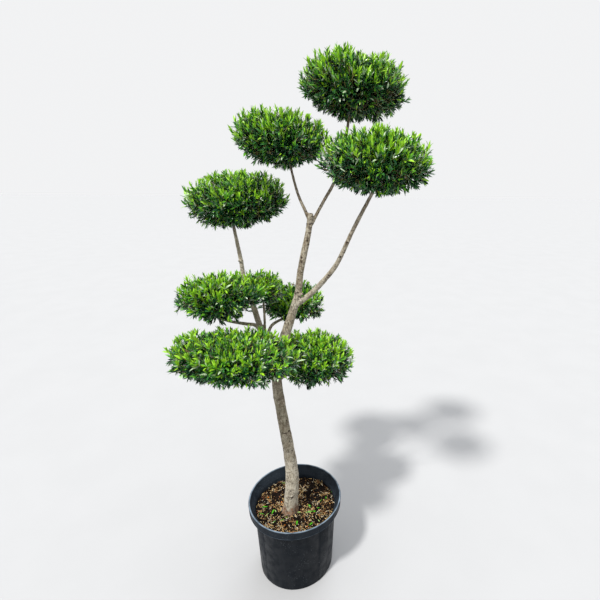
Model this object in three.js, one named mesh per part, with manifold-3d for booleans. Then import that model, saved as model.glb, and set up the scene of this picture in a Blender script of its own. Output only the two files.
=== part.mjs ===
/*
 * A pompon topiary in its nursery pot: a small-leaved evergreen with a leaning, forked trunk
 * whose boughs each carry a clipped, cloud-shaped head of foliage.
 *
 * Millimetres, +Z up. The origin is the centre of the pot's flat underside, -Y is the plant's
 * front, and +X is on the right when it is seen from there.
 */
import * as THREE from 'three';
import { mergeVertices } from 'three/addons/utils/BufferGeometryUtils.js';
import Module from 'manifold-3d';

const wasm = await Module();
wasm.setup();

// Sizes of the pot and its soil
const CLEARANCE = 0.3;
const POT = {
  height: 336,
  wall: 3,
  floor: 4,
  footRadius: 160,
  shoulderRadius: 174.5,
  shoulderHeight: 297,
  rimRadius: 200,
  rimSkirt: 34,
  rimTaper: 3.5,
  lipWidth: 8,
  lipHeight: 4,
  lipRound: 1.5,
  foldDepth: 18,
  ledge: 2,
  ease: 1,
  sides: 32,
};
const DRAIN_HOLES = { count: 6, radius: 9, depth: 16, ringRadius: 122, sides: 8 };
const SOIL = { top: 296, flatRadius: 95, settle: 4 };
const BELOW_SOIL = { side: 200, depth: 100 };

// Sizes of the limbs: paths run from butt to tip, and a radius closes each row of the trunk's
const TRUNK = {
  name: 'trunk',
  stations: [
    [-19, -43, 270, 29.5],
    [-8, -43, 385, 28],
    [-4, -41, 478, 26],
    [-14, -38, 592, 22.8],
    [-30, -34, 704, 21.2],
    [-55, -26, 904, 20],
    [-48, -20, 978, 20],
    [-18, -12, 1085, 19],
    [34, 0, 1252, 14.6],
    [46, 4, 1340, 12.3],
    [77, 12, 1486, 11.6],
    [91, 15, 1556, 11],
  ],
  sides: 12,
  steps: 26,
};
const ROOT_FLARE = { spread: 6, height: 26, buttresses: 5, relief: 0.35 };
const BOUGHS = [
  {
    name: 'bough_far_left',
    path: [[-54, -24, 935], [-104, 18, 1045], [-146, 60, 1157], [-197, 108, 1285],
      [-209, 124, 1354], [-238, 150, 1492]],
    butt: 14.5,
    tip: 6.3,
  },
  {
    name: 'bough_upper_left',
    path: [[86, 14, 1508], [65, 18, 1565], [41, 28, 1618], [20, 41, 1690], [14, 49, 1716]],
    butt: 6.6,
    tip: 4.6,
  },
  {
    name: 'bough_top',
    path: [[89, 15, 1508], [133, 40, 1597], [169, 60, 1661], [201, 90, 1761], [222, 120, 1886]],
    butt: 7.2,
    tip: 5.6,
  },
  {
    name: 'bough_upper_right',
    path: [[19, -2, 1206], [81, -10, 1253], [150, -30, 1330], [183, -45, 1378],
      [244, -85, 1513], [299, -119, 1625]],
    butt: 11.4,
    tip: 5.8,
  },
  {
    name: 'bough_middle_left',
    path: [[-115, 31, 1082], [-140, 15, 1119], [-164, 0, 1128], [-227, -40, 1156],
      [-286, -76, 1198]],
    butt: 7.4,
    tip: 4.6,
  },
  {
    name: 'bough_middle_centre',
    path: [[-108, 25, 1060], [-109, 50, 1104], [-116, 84, 1148], [-121, 101, 1177]],
    butt: 5.6,
    tip: 4.6,
  },
  {
    name: 'bough_middle_right',
    path: [[-96, 14, 1032], [-97, 68, 1074], [-88, 100, 1089], [-54, 188, 1088]],
    butt: 7,
    tip: 5.6,
  },
  {
    name: 'bough_lower_left',
    path: [[-52, -23, 945], [-80, -78, 988], [-126, -150, 1022]],
    butt: 11,
    tip: 7.4,
  },
  {
    name: 'bough_lower_right',
    path: [[-55, -25, 903], [-30, -12, 916], [-10, 0, 919]],
    butt: 10,
    tip: 8,
  },
];
const BOUGH_SIDES = 8;
const BOUGH_STEP = 42;
const BOUGH_LEAST_STEPS = 4;
const COLLAR = { swell: 0.3, length: 22 };

// Sizes of the foliage clouds: rise and drop are measured up and down from the heart, and slope
// is how far a cloud sinks towards +X for each millimetre across
const CLOUDS = [
  {
    name: 'cloud_far_left',
    bough: 'bough_far_left',
    heart: [-219, 150, 1590],
    halfWidth: 214,
    halfDepth: 170,
    rise: 120,
    drop: 113,
    slope: -0.05,
    seed: 113,
  },
  {
    name: 'cloud_upper_left',
    bough: 'bough_upper_left',
    heart: [-19, 50, 1808],
    halfWidth: 179,
    halfDepth: 145,
    rise: 114,
    drop: 104,
    slope: 0.05,
    seed: 227,
  },
  {
    name: 'cloud_upper_right',
    bough: 'bough_upper_right',
    heart: [312, -120, 1729],
    halfWidth: 204,
    halfDepth: 155,
    rise: 117,
    drop: 120,
    slope: 0.04,
    seed: 317,
  },
  {
    name: 'cloud_top',
    bough: 'bough_top',
    heart: [241, 122, 2003],
    halfWidth: 208,
    halfDepth: 168,
    rise: 124,
    drop: 132,
    slope: 0.07,
    seed: 419,
  },
  {
    name: 'cloud_middle_left',
    bough: 'bough_middle_left',
    heart: [-237, -96, 1266],
    halfWidth: 172,
    halfDepth: 106,
    rise: 92,
    drop: 96,
    slope: -0.06,
    seed: 515,
  },
  {
    name: 'cloud_middle_centre',
    bough: 'bough_middle_centre',
    heart: [-142, 90, 1252],
    halfWidth: 128,
    halfDepth: 72,
    rise: 80,
    drop: 72,
    slope: 0.06,
    seed: 567,
  },
  {
    name: 'cloud_middle_right',
    bough: 'bough_middle_right',
    heart: [-26, 234, 1152],
    halfWidth: 148,
    halfDepth: 115,
    rise: 94,
    drop: 92,
    slope: 0.06,
    seed: 607,
  },
  {
    name: 'cloud_lower_left',
    bough: 'bough_lower_left',
    heart: [-163, -210, 1089],
    halfWidth: 246,
    halfDepth: 138,
    rise: 93,
    drop: 88,
    slope: 0.03,
    seed: 711,
  },
  {
    name: 'cloud_lower_right',
    bough: 'bough_lower_right',
    heart: [86, 72, 971],
    halfWidth: 172,
    halfDepth: 140,
    rise: 106,
    drop: 114,
    slope: 0.09,
    seed: 815,
  },
];
const SQUARENESS = { above: 2.3, below: 2.7 };
const WOBBLE = { share: 0.035, lobes: 3 };
const CORE = { depth: 35, relief: 20, detail: 2 };
const STEM = { sides: 6, steps: 4, butt: 0.95, taper: 0.6, overlap: 2 };
const MAIN_TWIGS = { count: 7, reach: 0.5, butt: 4, tip: 3.2 };
const SHOOTS = { least: 5, skinEach: 3200, depth: 13, butt: 3, tip: 2 };
const TWIG_SIDES = 3;
const UPRIGHT_SHARE = 0.9;
const LEAF = { length: 60, width: 21, thickness: 2, widest: 0.45, shortest: 28 };
const LEAF_CLEARANCE_SHARES = [0.4, 0.7, 1];
const SHOOT_LEAVES = [
  { quarter: 0, lean: 0.9, sunk: 20 },
  { quarter: 2, lean: 0.9, sunk: 17 },
  { quarter: 1, lean: 0.4, sunk: 23 },
  { quarter: 3, lean: 0.45, sunk: 20 },
];
const LIMB_MARGIN = 2;

const FINISHES = {
  pot: { color: 0x2b2f36, roughness: 0.45 },
  soil: { color: 0x4a382b, roughness: 0.95 },
  bark: { color: 0x9a9082, roughness: 0.85 },
  boughBark: { color: 0x7d7361, roughness: 0.85 },
  foliage: { color: 0x3f6b2a, roughness: 0.5 },
};

// Seeded numbers between 0 and 1, the same on every run
function seeded(seed) {
  const multiplier = 16807;
  const modulus = 2147483647;
  let state = seed;
  return () => {
    state = (state * multiplier) % modulus;
    return state / modulus;
  };
}

// Closed solids from three.js geometry, and back
function weld(geometry) {
  const bare = geometry.clone();
  bare.deleteAttribute('normal');
  bare.deleteAttribute('uv');
  const welded = mergeVertices(bare);
  const corners = [];
  for (let i = 0; i < welded.index.count; i += 3) {
    const [a, b, c] = [0, 1, 2].map((k) => welded.index.getX(i + k));
    if (a !== b && b !== c && c !== a) corners.push(a, b, c);
  }
  welded.setIndex(corners);
  return welded;
}

function solidOf(geometry) {
  const welded = weld(geometry);
  return new wasm.Manifold(new wasm.Mesh({
    numProp: 3,
    vertProperties: Float32Array.from(welded.attributes.position.array),
    triVerts: Uint32Array.from(welded.index.array),
  }));
}

function geometryOf(vertices, corners) {
  const geometry = new THREE.BufferGeometry();
  geometry.setAttribute('position', new THREE.BufferAttribute(Float32Array.from(vertices), 3));
  geometry.setIndex(Array.from(corners));
  return geometry;
}

/** The largest closed body of a solid, without its loose scraps and sealed hollows. */
function largestBody(solid) {
  const { vertProperties, triVerts } = solid.getMesh();
  const owner = Array.from({ length: vertProperties.length / 3 }, (_, i) => i);
  const find = (i) => {
    let root = i;
    while (owner[root] !== root) root = owner[root];
    owner[i] = root;
    return root;
  };
  for (let i = 0; i < triVerts.length; i += 3) {
    owner[find(triVerts[i])] = find(triVerts[i + 1]);
    owner[find(triVerts[i + 1])] = find(triVerts[i + 2]);
  }
  const point = (i) => new THREE.Vector3().fromArray(vertProperties, 3 * i);
  const bodies = new Map();
  for (let i = 0; i < triVerts.length; i += 3) {
    const corners = Array.from(triVerts.slice(i, i + 3));
    const root = find(corners[0]);
    if (!bodies.has(root)) bodies.set(root, { volume: 0, corners: [] });
    const [a, b, c] = corners.map(point);
    bodies.get(root).volume += a.dot(b.cross(c)) / 6;
    bodies.get(root).corners.push(...corners);
  }
  const largest = [...bodies.values()].reduce((a, b) => (a.volume > b.volume ? a : b));
  return weld(geometryOf(vertProperties, largest.corners));
}

/** A solid of revolution about +Z from [radius, height] points that start and end on the axis. */
function lathe(profile, sides) {
  const outline = profile.map(([radius, height]) => new THREE.Vector2(radius, height));
  return new THREE.LatheGeometry(outline, sides).rotateX(Math.PI / 2);
}

/** A round bar along a path, bent from a cylinder, with its ends moved out by any swell. */
function bar({ path, radiusAt, sides, steps, swell = 0 }) {
  const route = new THREE.CatmullRomCurve3(path.map((point) => new THREE.Vector3(...point)));
  const frames = route.computeFrenetFrames(steps, false);
  const shape = new THREE.CylinderGeometry(1, 1, 1, sides, steps);
  const place = shape.attributes.position;
  for (let i = 0; i < place.count; i++) {
    const [across, along, away] = [place.getX(i), place.getY(i) + 0.5, place.getZ(i)];
    const step = Math.round(along * steps);
    const radius = radiusAt(along, Math.atan2(away, across)) + swell;
    const endShift = step === 0 ? -swell : step === steps ? swell : 0;
    const point = route.getPointAt(along)
      .addScaledVector(frames.tangents[step], endShift)
      .addScaledVector(frames.normals[step], across * radius)
      .addScaledVector(frames.binormals[step], -away * radius);
    place.setXYZ(i, point.x, point.y, point.z);
  }
  return shape;
}

// The pot: a thin wall whose rim is a skirt folded down from the lip
function potGeometry() {
  const { height, wall, floor, footRadius, shoulderRadius, shoulderHeight } = POT;
  const { rimRadius, rimSkirt, rimTaper, foldDepth, ledge, ease } = POT;
  const { lipWidth, lipHeight, lipRound, sides } = POT;
  const skirtFoot = height - rimSkirt;
  const foldTop = height - foldDepth;
  const foldRadius = rimRadius - lipWidth - wall;
  const profile = [
    [0, 0],
    [footRadius - wall, 0],
    [footRadius, wall],
    [shoulderRadius, shoulderHeight],
    [shoulderRadius + wall, skirtFoot + ledge],
    [foldRadius, foldTop],
    [rimRadius - wall - ledge, foldTop],
    [rimRadius - rimTaper - wall, skirtFoot],
    [rimRadius - rimTaper, skirtFoot],
    [rimRadius, height - lipHeight],
    [rimRadius - lipRound, height - ease],
    [rimRadius - lipWidth / 2, height],
    [rimRadius - lipWidth + lipRound, height - ease],
    [rimRadius - lipWidth, height - lipHeight],
    [foldRadius - ledge, foldTop],
    [shoulderRadius, skirtFoot + ease],
    [shoulderRadius - wall, shoulderHeight - ease],
    [footRadius - wall, floor],
    [0, floor],
  ];
  return lathe(profile, sides);
}

function drainHole(turn) {
  const { radius, depth, ringRadius, sides } = DRAIN_HOLES;
  return new THREE.CylinderGeometry(radius, radius, depth, sides)
    .rotateX(Math.PI / 2)
    .translate(ringRadius * Math.cos(turn), ringRadius * Math.sin(turn), 0);
}

function makePot() {
  let pot = solidOf(potGeometry());
  for (let i = 0; i < DRAIN_HOLES.count; i++) {
    pot = pot.subtract(solidOf(drainHole((2 * Math.PI * (i + 0.5)) / DRAIN_HOLES.count)));
  }
  return largestBody(pot);
}

function makeSoil() {
  const bottom = POT.floor + CLEARANCE;
  const inside = (height) => THREE.MathUtils.mapLinear(
    height,
    POT.floor,
    POT.shoulderHeight - POT.ease,
    POT.footRadius - POT.wall,
    POT.shoulderRadius - POT.wall,
  ) - CLEARANCE;
  const edge = SOIL.top - SOIL.settle;
  return weld(lathe([
    [0, bottom],
    [inside(bottom), bottom],
    [inside(edge), edge],
    [SOIL.flatRadius, SOIL.top],
    [0, SOIL.top],
  ], POT.sides));
}

// The limbs: each is a bar, its thicker sleeve keeps its neighbours clear of it
function limb(spec) {
  const route = new THREE.CatmullRomCurve3(spec.path.map((point) => new THREE.Vector3(...point)));
  const points = route.getSpacedPoints(spec.steps);
  return {
    name: spec.name,
    tip: points.at(-1),
    tipWay: route.getTangentAt(1),
    tipRadius: spec.radiusAt(1, 0),
    solid: solidOf(bar(spec)),
    sleeve: solidOf(bar({ ...spec, swell: CLEARANCE })),
    stations: points.map((point, i) => ({ point, radius: spec.radiusAt(i / spec.steps, 0) })),
  };
}

/** The trunk's radius at a share of its length, spread into buttresses at its foot. */
function trunkRadius(along, turn) {
  const { stations } = TRUNK;
  const place = along * (stations.length - 1);
  const row = Math.min(Math.floor(place), stations.length - 2);
  const radius = THREE.MathUtils.lerp(stations[row][3], stations[row + 1][3], place - row);
  const length = stations.at(-1)[2] - stations[0][2];
  const aboveSoil = Math.max(0, along * length - (SOIL.top - stations[0][2]));
  const { spread, height, buttresses, relief } = ROOT_FLARE;
  const buttress = 1 + relief * Math.cos(buttresses * turn);
  return radius + spread * buttress * Math.exp(-aboveSoil / height);
}

function makeTrunk() {
  const trunk = limb({
    name: TRUNK.name,
    path: TRUNK.stations.map(([x, y, z]) => [x, y, z]),
    radiusAt: trunkRadius,
    sides: TRUNK.sides,
    steps: TRUNK.steps,
  });
  const { side, depth } = BELOW_SOIL;
  const ground = new THREE.BoxGeometry(side, side, depth);
  ground.translate(TRUNK.stations[0][0], TRUNK.stations[0][1], SOIL.top + CLEARANCE - depth / 2);
  trunk.solid = trunk.solid.subtract(solidOf(ground));
  return trunk;
}

function makeBough({ name, path, butt, tip }, earlier) {
  const length = new THREE.CatmullRomCurve3(path.map((point) => new THREE.Vector3(...point)))
    .getLength();
  const radiusAt = (along) => {
    const collar = butt * COLLAR.swell * Math.exp(-(along * length) / COLLAR.length);
    return THREE.MathUtils.lerp(butt, tip, along) + collar;
  };
  const steps = Math.max(BOUGH_LEAST_STEPS, Math.round(length / BOUGH_STEP));
  const bough = limb({ name, path, radiusAt, sides: BOUGH_SIDES, steps });
  for (const { sleeve } of earlier) bough.solid = bough.solid.subtract(sleeve);
  return bough;
}

// The foliage: each cloud keeps to its own bun-shaped space round its heart
function reach(cloud, way) {
  const height = way.z + cloud.slope * way.x;
  const above = height > 0;
  const across = Math.hypot(way.x / cloud.halfWidth, way.y / cloud.halfDepth);
  const upright = Math.abs(height) / (above ? cloud.rise : cloud.drop);
  const power = above ? SQUARENESS.above : SQUARENESS.below;
  const round = (across ** power + upright ** power) ** (-1 / power);
  const wave = Math.sin(WOBBLE.lobes * Math.atan2(way.y, way.x) + cloud.seed);
  return round * (1 - WOBBLE.share * (1 + wave) / 2);
}

function inside(cloud, point) {
  const way = point.clone().sub(cloud.centre);
  const distance = way.length();
  return distance < reach(cloud, way.normalize());
}

function clearOf({ stations }, point) {
  return stations.slice(1).every((end, i) => {
    const start = stations[i];
    const nearest = new THREE.Line3(start.point, end.point)
      .closestPointToPoint(point, true, new THREE.Vector3());
    return nearest.distanceTo(point) > Math.max(start.radius, end.radius) + LIMB_MARGIN;
  });
}

/** Directions spread evenly over a cloud's skin, turned by a seeded angle. */
function spread(cloud, count, turn) {
  const goldenAngle = Math.PI * (3 - Math.sqrt(5));
  const flatness = Math.sqrt((cloud.rise + cloud.drop) / (2 * cloud.halfWidth));
  return Array.from({ length: count }, (_, i) => {
    const height = 1 - (2 * (i + 0.5)) / count;
    const ring = Math.sqrt(1 - height * height);
    const angle = goldenAngle * i + turn;
    return new THREE.Vector3(ring * Math.cos(angle), ring * Math.sin(angle), height * flatness)
      .normalize();
  });
}

/** Turns and moves a shape that stands on the origin along +Y to a place and direction. */
function stand(geometry, foot, way, face) {
  const side = new THREE.Vector3().crossVectors(way, face).normalize();
  const front = new THREE.Vector3().crossVectors(side, way);
  return geometry.applyMatrix4(new THREE.Matrix4().makeBasis(side, way, front).setPosition(foot));
}

function twig(start, end, butt, tip) {
  const way = end.clone().sub(start);
  const length = way.length();
  const face = Math.abs(way.z) > UPRIGHT_SHARE * length ? new THREE.Vector3(1, 0, 0)
    : new THREE.Vector3(0, 0, 1);
  const shape = new THREE.CylinderGeometry(tip, butt, length, TWIG_SIDES)
    .translate(0, length / 2, 0);
  return stand(shape, start, way.normalize(), face);
}

/** A lance-shaped leaf of six faces on the origin, pointing along +Y, with a raised midrib. */
function leafShape(length) {
  const radius = 0.5;
  const shape = new THREE.SphereGeometry(radius, 3, 2).rotateY(Math.PI / 2);
  const place = shape.attributes.position;
  for (let i = 0; i < place.count; i++) {
    const isEnd = Math.abs(place.getY(i)) > radius / 2;
    place.setY(i, isEnd ? place.getY(i) + radius : LEAF.widest);
  }
  return shape.scale(LEAF.width, length, LEAF.thickness);
}

/** The longest a leaf may be before its tip leaves the cloud's space. */
function roomAhead(cloud, root, way) {
  let length = LEAF.length;
  while (length > 0 && !inside(cloud, root.clone().addScaledVector(way, length))) length -= 1;
  return length;
}

/** The leaves of one shoot, in two crossed pairs of which the outer one leans out less. */
function shootLeaves(cloud, start, end, limbs, turn) {
  const way = end.clone().sub(start).normalize();
  const level = new THREE.Vector3(-way.y, way.x, 0).normalize();
  const leaves = [];
  for (const { quarter, lean, sunk } of SHOOT_LEAVES) {
    const side = level.clone().applyAxisAngle(way, turn + (quarter * Math.PI) / 2);
    const edge = side.clone().cross(way);
    const root = end.clone().addScaledVector(way, -sunk);
    const leafWay = way.clone().multiplyScalar(Math.cos(lean))
      .addScaledVector(side, Math.sin(lean));
    const length = roomAhead(cloud, root, leafWay);
    const points = LEAF_CLEARANCE_SHARES.map((share) => root.clone()
      .addScaledVector(leafWay, share * length));
    const clear = points.every((point) => limbs.every((one) => clearOf(one, point)));
    if (length < LEAF.shortest || !clear) continue;
    leaves.push(stand(leafShape(length), root, leafWay, leafWay.clone().cross(edge)));
  }
  return leaves;
}

/** The dense inside of a cloud, with a seeded relief of clipped tufts. */
function coreGeometry(cloud, random) {
  const core = weld(new THREE.IcosahedronGeometry(1, CORE.detail));
  const place = core.attributes.position;
  for (let i = 0; i < place.count; i++) {
    const way = new THREE.Vector3().fromBufferAttribute(place, i).normalize();
    const radius = reach(cloud, way) - CORE.depth + CORE.relief * random();
    const point = way.multiplyScalar(radius).add(cloud.centre);
    place.setXYZ(i, point.x, point.y, point.z);
  }
  return core;
}

function stemGeometry(cloud, bough) {
  const start = bough.tip.clone().addScaledVector(bough.tipWay, -STEM.overlap);
  const bend = bough.tip.clone().addScaledVector(bough.tipWay, bough.tipRadius);
  return bar({
    path: [start, bend, cloud.centre].map((point) => point.toArray()),
    radiusAt: (along) => bough.tipRadius * THREE.MathUtils.lerp(STEM.butt, STEM.taper, along),
    sides: STEM.sides,
    steps: STEM.steps,
  });
}

function makeCloud(spec, limbs) {
  const cloud = { ...spec, centre: new THREE.Vector3(...spec.heart) };
  const random = seeded(cloud.seed);
  const bough = limbs.find((one) => one.name === cloud.bough);
  const pieces = [coreGeometry(cloud, seeded(cloud.seed)), stemGeometry(cloud, bough)];
  const forks = [];
  for (const way of spread(cloud, MAIN_TWIGS.count, 2 * Math.PI * random())) {
    const length = reach(cloud, way) * MAIN_TWIGS.reach;
    const end = cloud.centre.clone().addScaledVector(way, length);
    pieces.push(twig(cloud.centre, end, MAIN_TWIGS.butt, MAIN_TWIGS.tip));
    forks.push(end);
  }
  const skin = cloud.halfWidth * cloud.halfDepth;
  const shootCount = SHOOTS.least + Math.round(skin / SHOOTS.skinEach);
  for (const way of spread(cloud, shootCount, 2 * Math.PI * random())) {
    const end = cloud.centre.clone().addScaledVector(way, reach(cloud, way) - SHOOTS.depth);
    const start = forks.reduce((a, b) => (a.distanceTo(end) < b.distanceTo(end) ? a : b));
    const leaves = shootLeaves(cloud, start, end, limbs, 2 * Math.PI * random());
    if (!limbs.every((one) => clearOf(one, end))) continue;
    pieces.push(twig(start, end, SHOOTS.butt, SHOOTS.tip), ...leaves);
  }
  let solid = pieces.map(solidOf).reduce((a, b) => a.add(b));
  for (const { sleeve } of limbs) solid = solid.subtract(sleeve);
  return largestBody(solid);
}

// Assembly
function named(name, geometry, finish) {
  geometry.computeVertexNormals();
  const material = new THREE.MeshStandardMaterial({ ...finish, metalness: 0, flatShading: true });
  const mesh = new THREE.Mesh(geometry, material);
  mesh.name = name;
  return mesh;
}

const limbs = [makeTrunk()];
for (const spec of BOUGHS) limbs.push(makeBough(spec, limbs));

const plant = new THREE.Group();
plant.name = 'potted_pompon_topiary';
plant.add(named('pot', makePot(), FINISHES.pot));
plant.add(named('soil', makeSoil(), FINISHES.soil));
for (const { name, solid } of limbs) {
  const finish = name === TRUNK.name ? FINISHES.bark : FINISHES.boughBark;
  plant.add(named(name, largestBody(solid), finish));
}
for (const spec of CLOUDS) {
  plant.add(named(spec.name, makeCloud(spec, limbs), FINISHES.foliage));
}

export default plant;
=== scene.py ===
"""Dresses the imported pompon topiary: a clipped evergreen with nine clouds of foliage, in its pot.

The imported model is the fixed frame. Everything is in metres, +Z up, with -Y as the plant's front
and the origin at the centre of the pot's flat underside. Sizes that come from the plant's own
plan are written in millimetres and multiplied by MM.
"""

import logging
import math
from dataclasses import dataclass, fields
from enum import Enum

import bmesh
import bpy
import numpy as np
from mathutils import Matrix, Vector, noise
from mathutils.kdtree import KDTree


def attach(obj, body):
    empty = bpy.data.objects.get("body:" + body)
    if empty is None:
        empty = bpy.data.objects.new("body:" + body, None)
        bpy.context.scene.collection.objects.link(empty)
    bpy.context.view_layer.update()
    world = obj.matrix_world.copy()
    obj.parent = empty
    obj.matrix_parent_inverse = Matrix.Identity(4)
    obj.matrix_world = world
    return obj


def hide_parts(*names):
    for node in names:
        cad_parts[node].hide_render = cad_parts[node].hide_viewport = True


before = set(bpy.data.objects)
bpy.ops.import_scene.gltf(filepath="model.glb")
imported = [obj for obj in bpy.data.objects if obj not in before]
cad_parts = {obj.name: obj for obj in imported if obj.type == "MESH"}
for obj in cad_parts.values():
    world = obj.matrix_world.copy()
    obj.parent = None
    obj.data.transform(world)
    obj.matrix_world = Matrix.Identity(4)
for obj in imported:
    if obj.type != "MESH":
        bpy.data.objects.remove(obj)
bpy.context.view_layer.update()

MM = 0.001
BODY = "root"
FULL_TURN = 2 * math.pi
GOLDEN_ANGLE = math.pi * (3 - math.sqrt(5))
SAME_PLACE = 1e-6
UP = np.array([0.0, 0.0, 1.0])
LOG = logging.getLogger("topiary")

Rows = np.ndarray
Socket = bpy.types.NodeSocket
Solid = bmesh.types.BMesh
Place = tuple[float, float, float]
Colour = tuple[float, float, float]
Draws = np.random.Generator


def unit(rows: Rows) -> Rows:
    """Scales each row to length one."""
    return rows / np.maximum(np.linalg.norm(rows, axis=-1, keepdims=True), 1e-12)


def mixed(start: Rows, end: Rows, share: Rows | float) -> Rows:
    """Blends two values by a share of the second."""
    return start + (end - start) * share


def bowed(start: Rows, bend: Rows, end: Rows, share: Rows) -> Rows:
    """Gives points at shares of the way along bows from start by bend to end."""
    return start * (1 - share) ** 2 + bend * 2 * share * (1 - share) + end * share**2


def smooth_step(low: float, high: float, value: Rows) -> Rows:
    """Rises softly from 0 at low to 1 at high."""
    share = np.clip((value - low) / (high - low), 0.0, 1.0)
    return share * share * (3 - 2 * share)


def square_to(ways: Rows, faces: Rows) -> Rows:
    """Turns each face square to its way."""
    return unit(faces - ways * np.sum(faces * ways, axis=1, keepdims=True))


def nearest(places: Rows, wanted: Rows) -> Rows:
    """Gives the number of the nearest place to each wanted one."""
    return np.argmin(np.linalg.norm(wanted[:, None] - places[None], axis=2), axis=1)


def rough(x: float, y: float, z: float) -> float:
    """Gives a smooth noise of about -1 to 1."""
    return noise.noise(Vector((x, y, z)))


def within(value: float) -> float:
    """Keeps a number from 0 to 1."""
    return min(1.0, max(0.0, value))


def swung(first: Rows, second: Rows, angles: Rows) -> Rows:
    """Turns each direction by an angle towards another one that is square to it."""
    return first * np.cos(angles)[:, None] + second * np.sin(angles)[:, None]


def number_of(kind: Enum) -> int:
    """Gives an option's place in its list, which is the number of its material."""
    return list(type(kind)).index(kind)


class SeededNumbers:
    """Numbers between 0 and 1 from the plant's own seeded rule."""

    MULTIPLIER = 16807
    MODULUS = 2147483647

    def __init__(self, seed: int) -> None:
        """Starts the row of numbers at a seed."""
        self.state = seed

    def next(self) -> float:
        """Gives the next number."""
        self.state = self.state * self.MULTIPLIER % self.MODULUS
        return self.state / self.MODULUS


class Route:
    """A smooth curve through a few points, walked by its length."""

    SAMPLES = 200
    NEARBY = 0.004

    def __init__(self, points: Rows) -> None:
        """Lays the curve through points, one row each."""
        before = 2 * points[0] - points[1]
        beyond = 2 * points[-1] - points[-2]
        self.knots = np.vstack([before, points, beyond])
        self.shares = np.linspace(0.0, 1.0, self.SAMPLES + 1)
        steps = np.linalg.norm(np.diff(self._curve(self.shares), axis=0), axis=1)
        self.walked = np.concatenate([[0.0], np.cumsum(steps)])
        self.length = float(self.walked[-1])

    def _curve(self, shares: Rows) -> Rows:
        """Gives centripetal Catmull-Rom points for shares of the knots."""
        spans = len(self.knots) - 3
        place = np.clip(shares, 0.0, 1.0) * spans
        span = np.minimum(place.astype(int), spans - 1)
        rest = (place - span)[:, None]
        p0, p1, p2, p3 = (self.knots[span + k] for k in range(4))
        pairs = ((p0, p1), (p1, p2), (p2, p3))
        d0, d1, d2 = (np.sqrt(np.linalg.norm(b - a, axis=1))[:, None] for a, b in pairs)
        leave = ((p1 - p0) / d0 - (p2 - p0) / (d0 + d1) + (p2 - p1) / d1) * d1
        arrive = ((p2 - p1) / d1 - (p3 - p1) / (d1 + d2) + (p3 - p2) / d2) * d1
        square = -3 * p1 + 3 * p2 - 2 * leave - arrive
        cube = 2 * p1 - 2 * p2 + leave + arrive
        return p1 + leave * rest + square * rest**2 + cube * rest**3

    def at(self, along: Rows | float) -> Rows:
        """Gives points at shares of the length."""
        walked = np.atleast_1d(along) * self.length
        return self._curve(np.interp(walked, self.walked, self.shares))

    def ways(self, along: Rows | float) -> Rows:
        """Gives unit directions at shares of the length."""
        ahead = self.at(np.clip(np.atleast_1d(along) + self.NEARBY, 0.0, 1.0))
        behind = self.at(np.clip(np.atleast_1d(along) - self.NEARBY, 0.0, 1.0))
        return unit(ahead - behind)


@dataclass(frozen=True)
class Limb:
    """One tapering limb with a collar where it leaves its parent. Sizes are millimetres.

    Attributes:
        name: The plan's name for it.
        path: Points from butt to tip.
        butt: Radius at the butt.
        tip: Radius at the tip.
        collar: Swelling of the collar, as a share of the butt.
        collar_length: How far along the limb the collar fades.
        sides: How many sides its bar has.
        step: How far apart the bar's rings stand.
    """

    name: str
    path: tuple[Place, ...]
    butt: float
    tip: float
    collar: float = 0.3
    collar_length: float = 22.0
    sides: int = 20
    step: float = 5.0

    def route(self) -> Route:
        """Gives the limb's centre line in metres."""
        return Route(np.array(self.path, float) * MM)

    def radii(self, along: Rows, turn: Rows) -> Rows:
        """Gives radii in metres.

        Args:
            along: Shares of the length from butt to tip.
            turn: Angles round the limb, radians.

        Returns:
            One radius for each pair.
        """
        walked = along * self.route().length / MM
        collar = self.butt * self.collar * np.exp(-walked / self.collar_length)
        return (mixed(self.butt, self.tip, along) + collar + 0 * turn) * MM

    def walked(self, gap: float) -> tuple[Rows, Rows]:
        """Gives points about a gap apart along the limb, and the radius at each, in metres."""
        route = self.route()
        along = np.linspace(0.0, 1.0, max(4, round(route.length / (gap * MM))))
        return route.at(along), self.radii(along, 0 * along)


@dataclass(frozen=True)
class Trunk(Limb):
    """The leaning trunk, whose foot spreads into buttresses. Sizes are millimetres.

    Attributes:
        girths: Radius at each point of the path.
        soil_height: Where the trunk is cut flat.
        flare: How far the foot spreads.
        flare_height: How far up the spread fades.
        buttresses: How many ridges the foot has.
        relief: How far they stand out, as a share of the spread.
    """

    girths: tuple[float, ...] = ()
    soil_height: float = 296.0
    flare: float = 6.0
    flare_height: float = 26.0
    buttresses: int = 5
    relief: float = 0.35

    def radii(self, along: Rows, turn: Rows) -> Rows:
        """Gives radii in metres, as Limb.radii does."""
        girth = np.interp(along, np.linspace(0.0, 1.0, len(self.girths)), self.girths)
        low, high = self.path[0][2], self.path[-1][2]
        above = np.maximum(0.0, along * (high - low) - (self.soil_height - low))
        buttress = 1 + self.relief * np.cos(self.buttresses * turn)
        return (girth + self.flare * buttress * np.exp(-above / self.flare_height)) * MM


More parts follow.
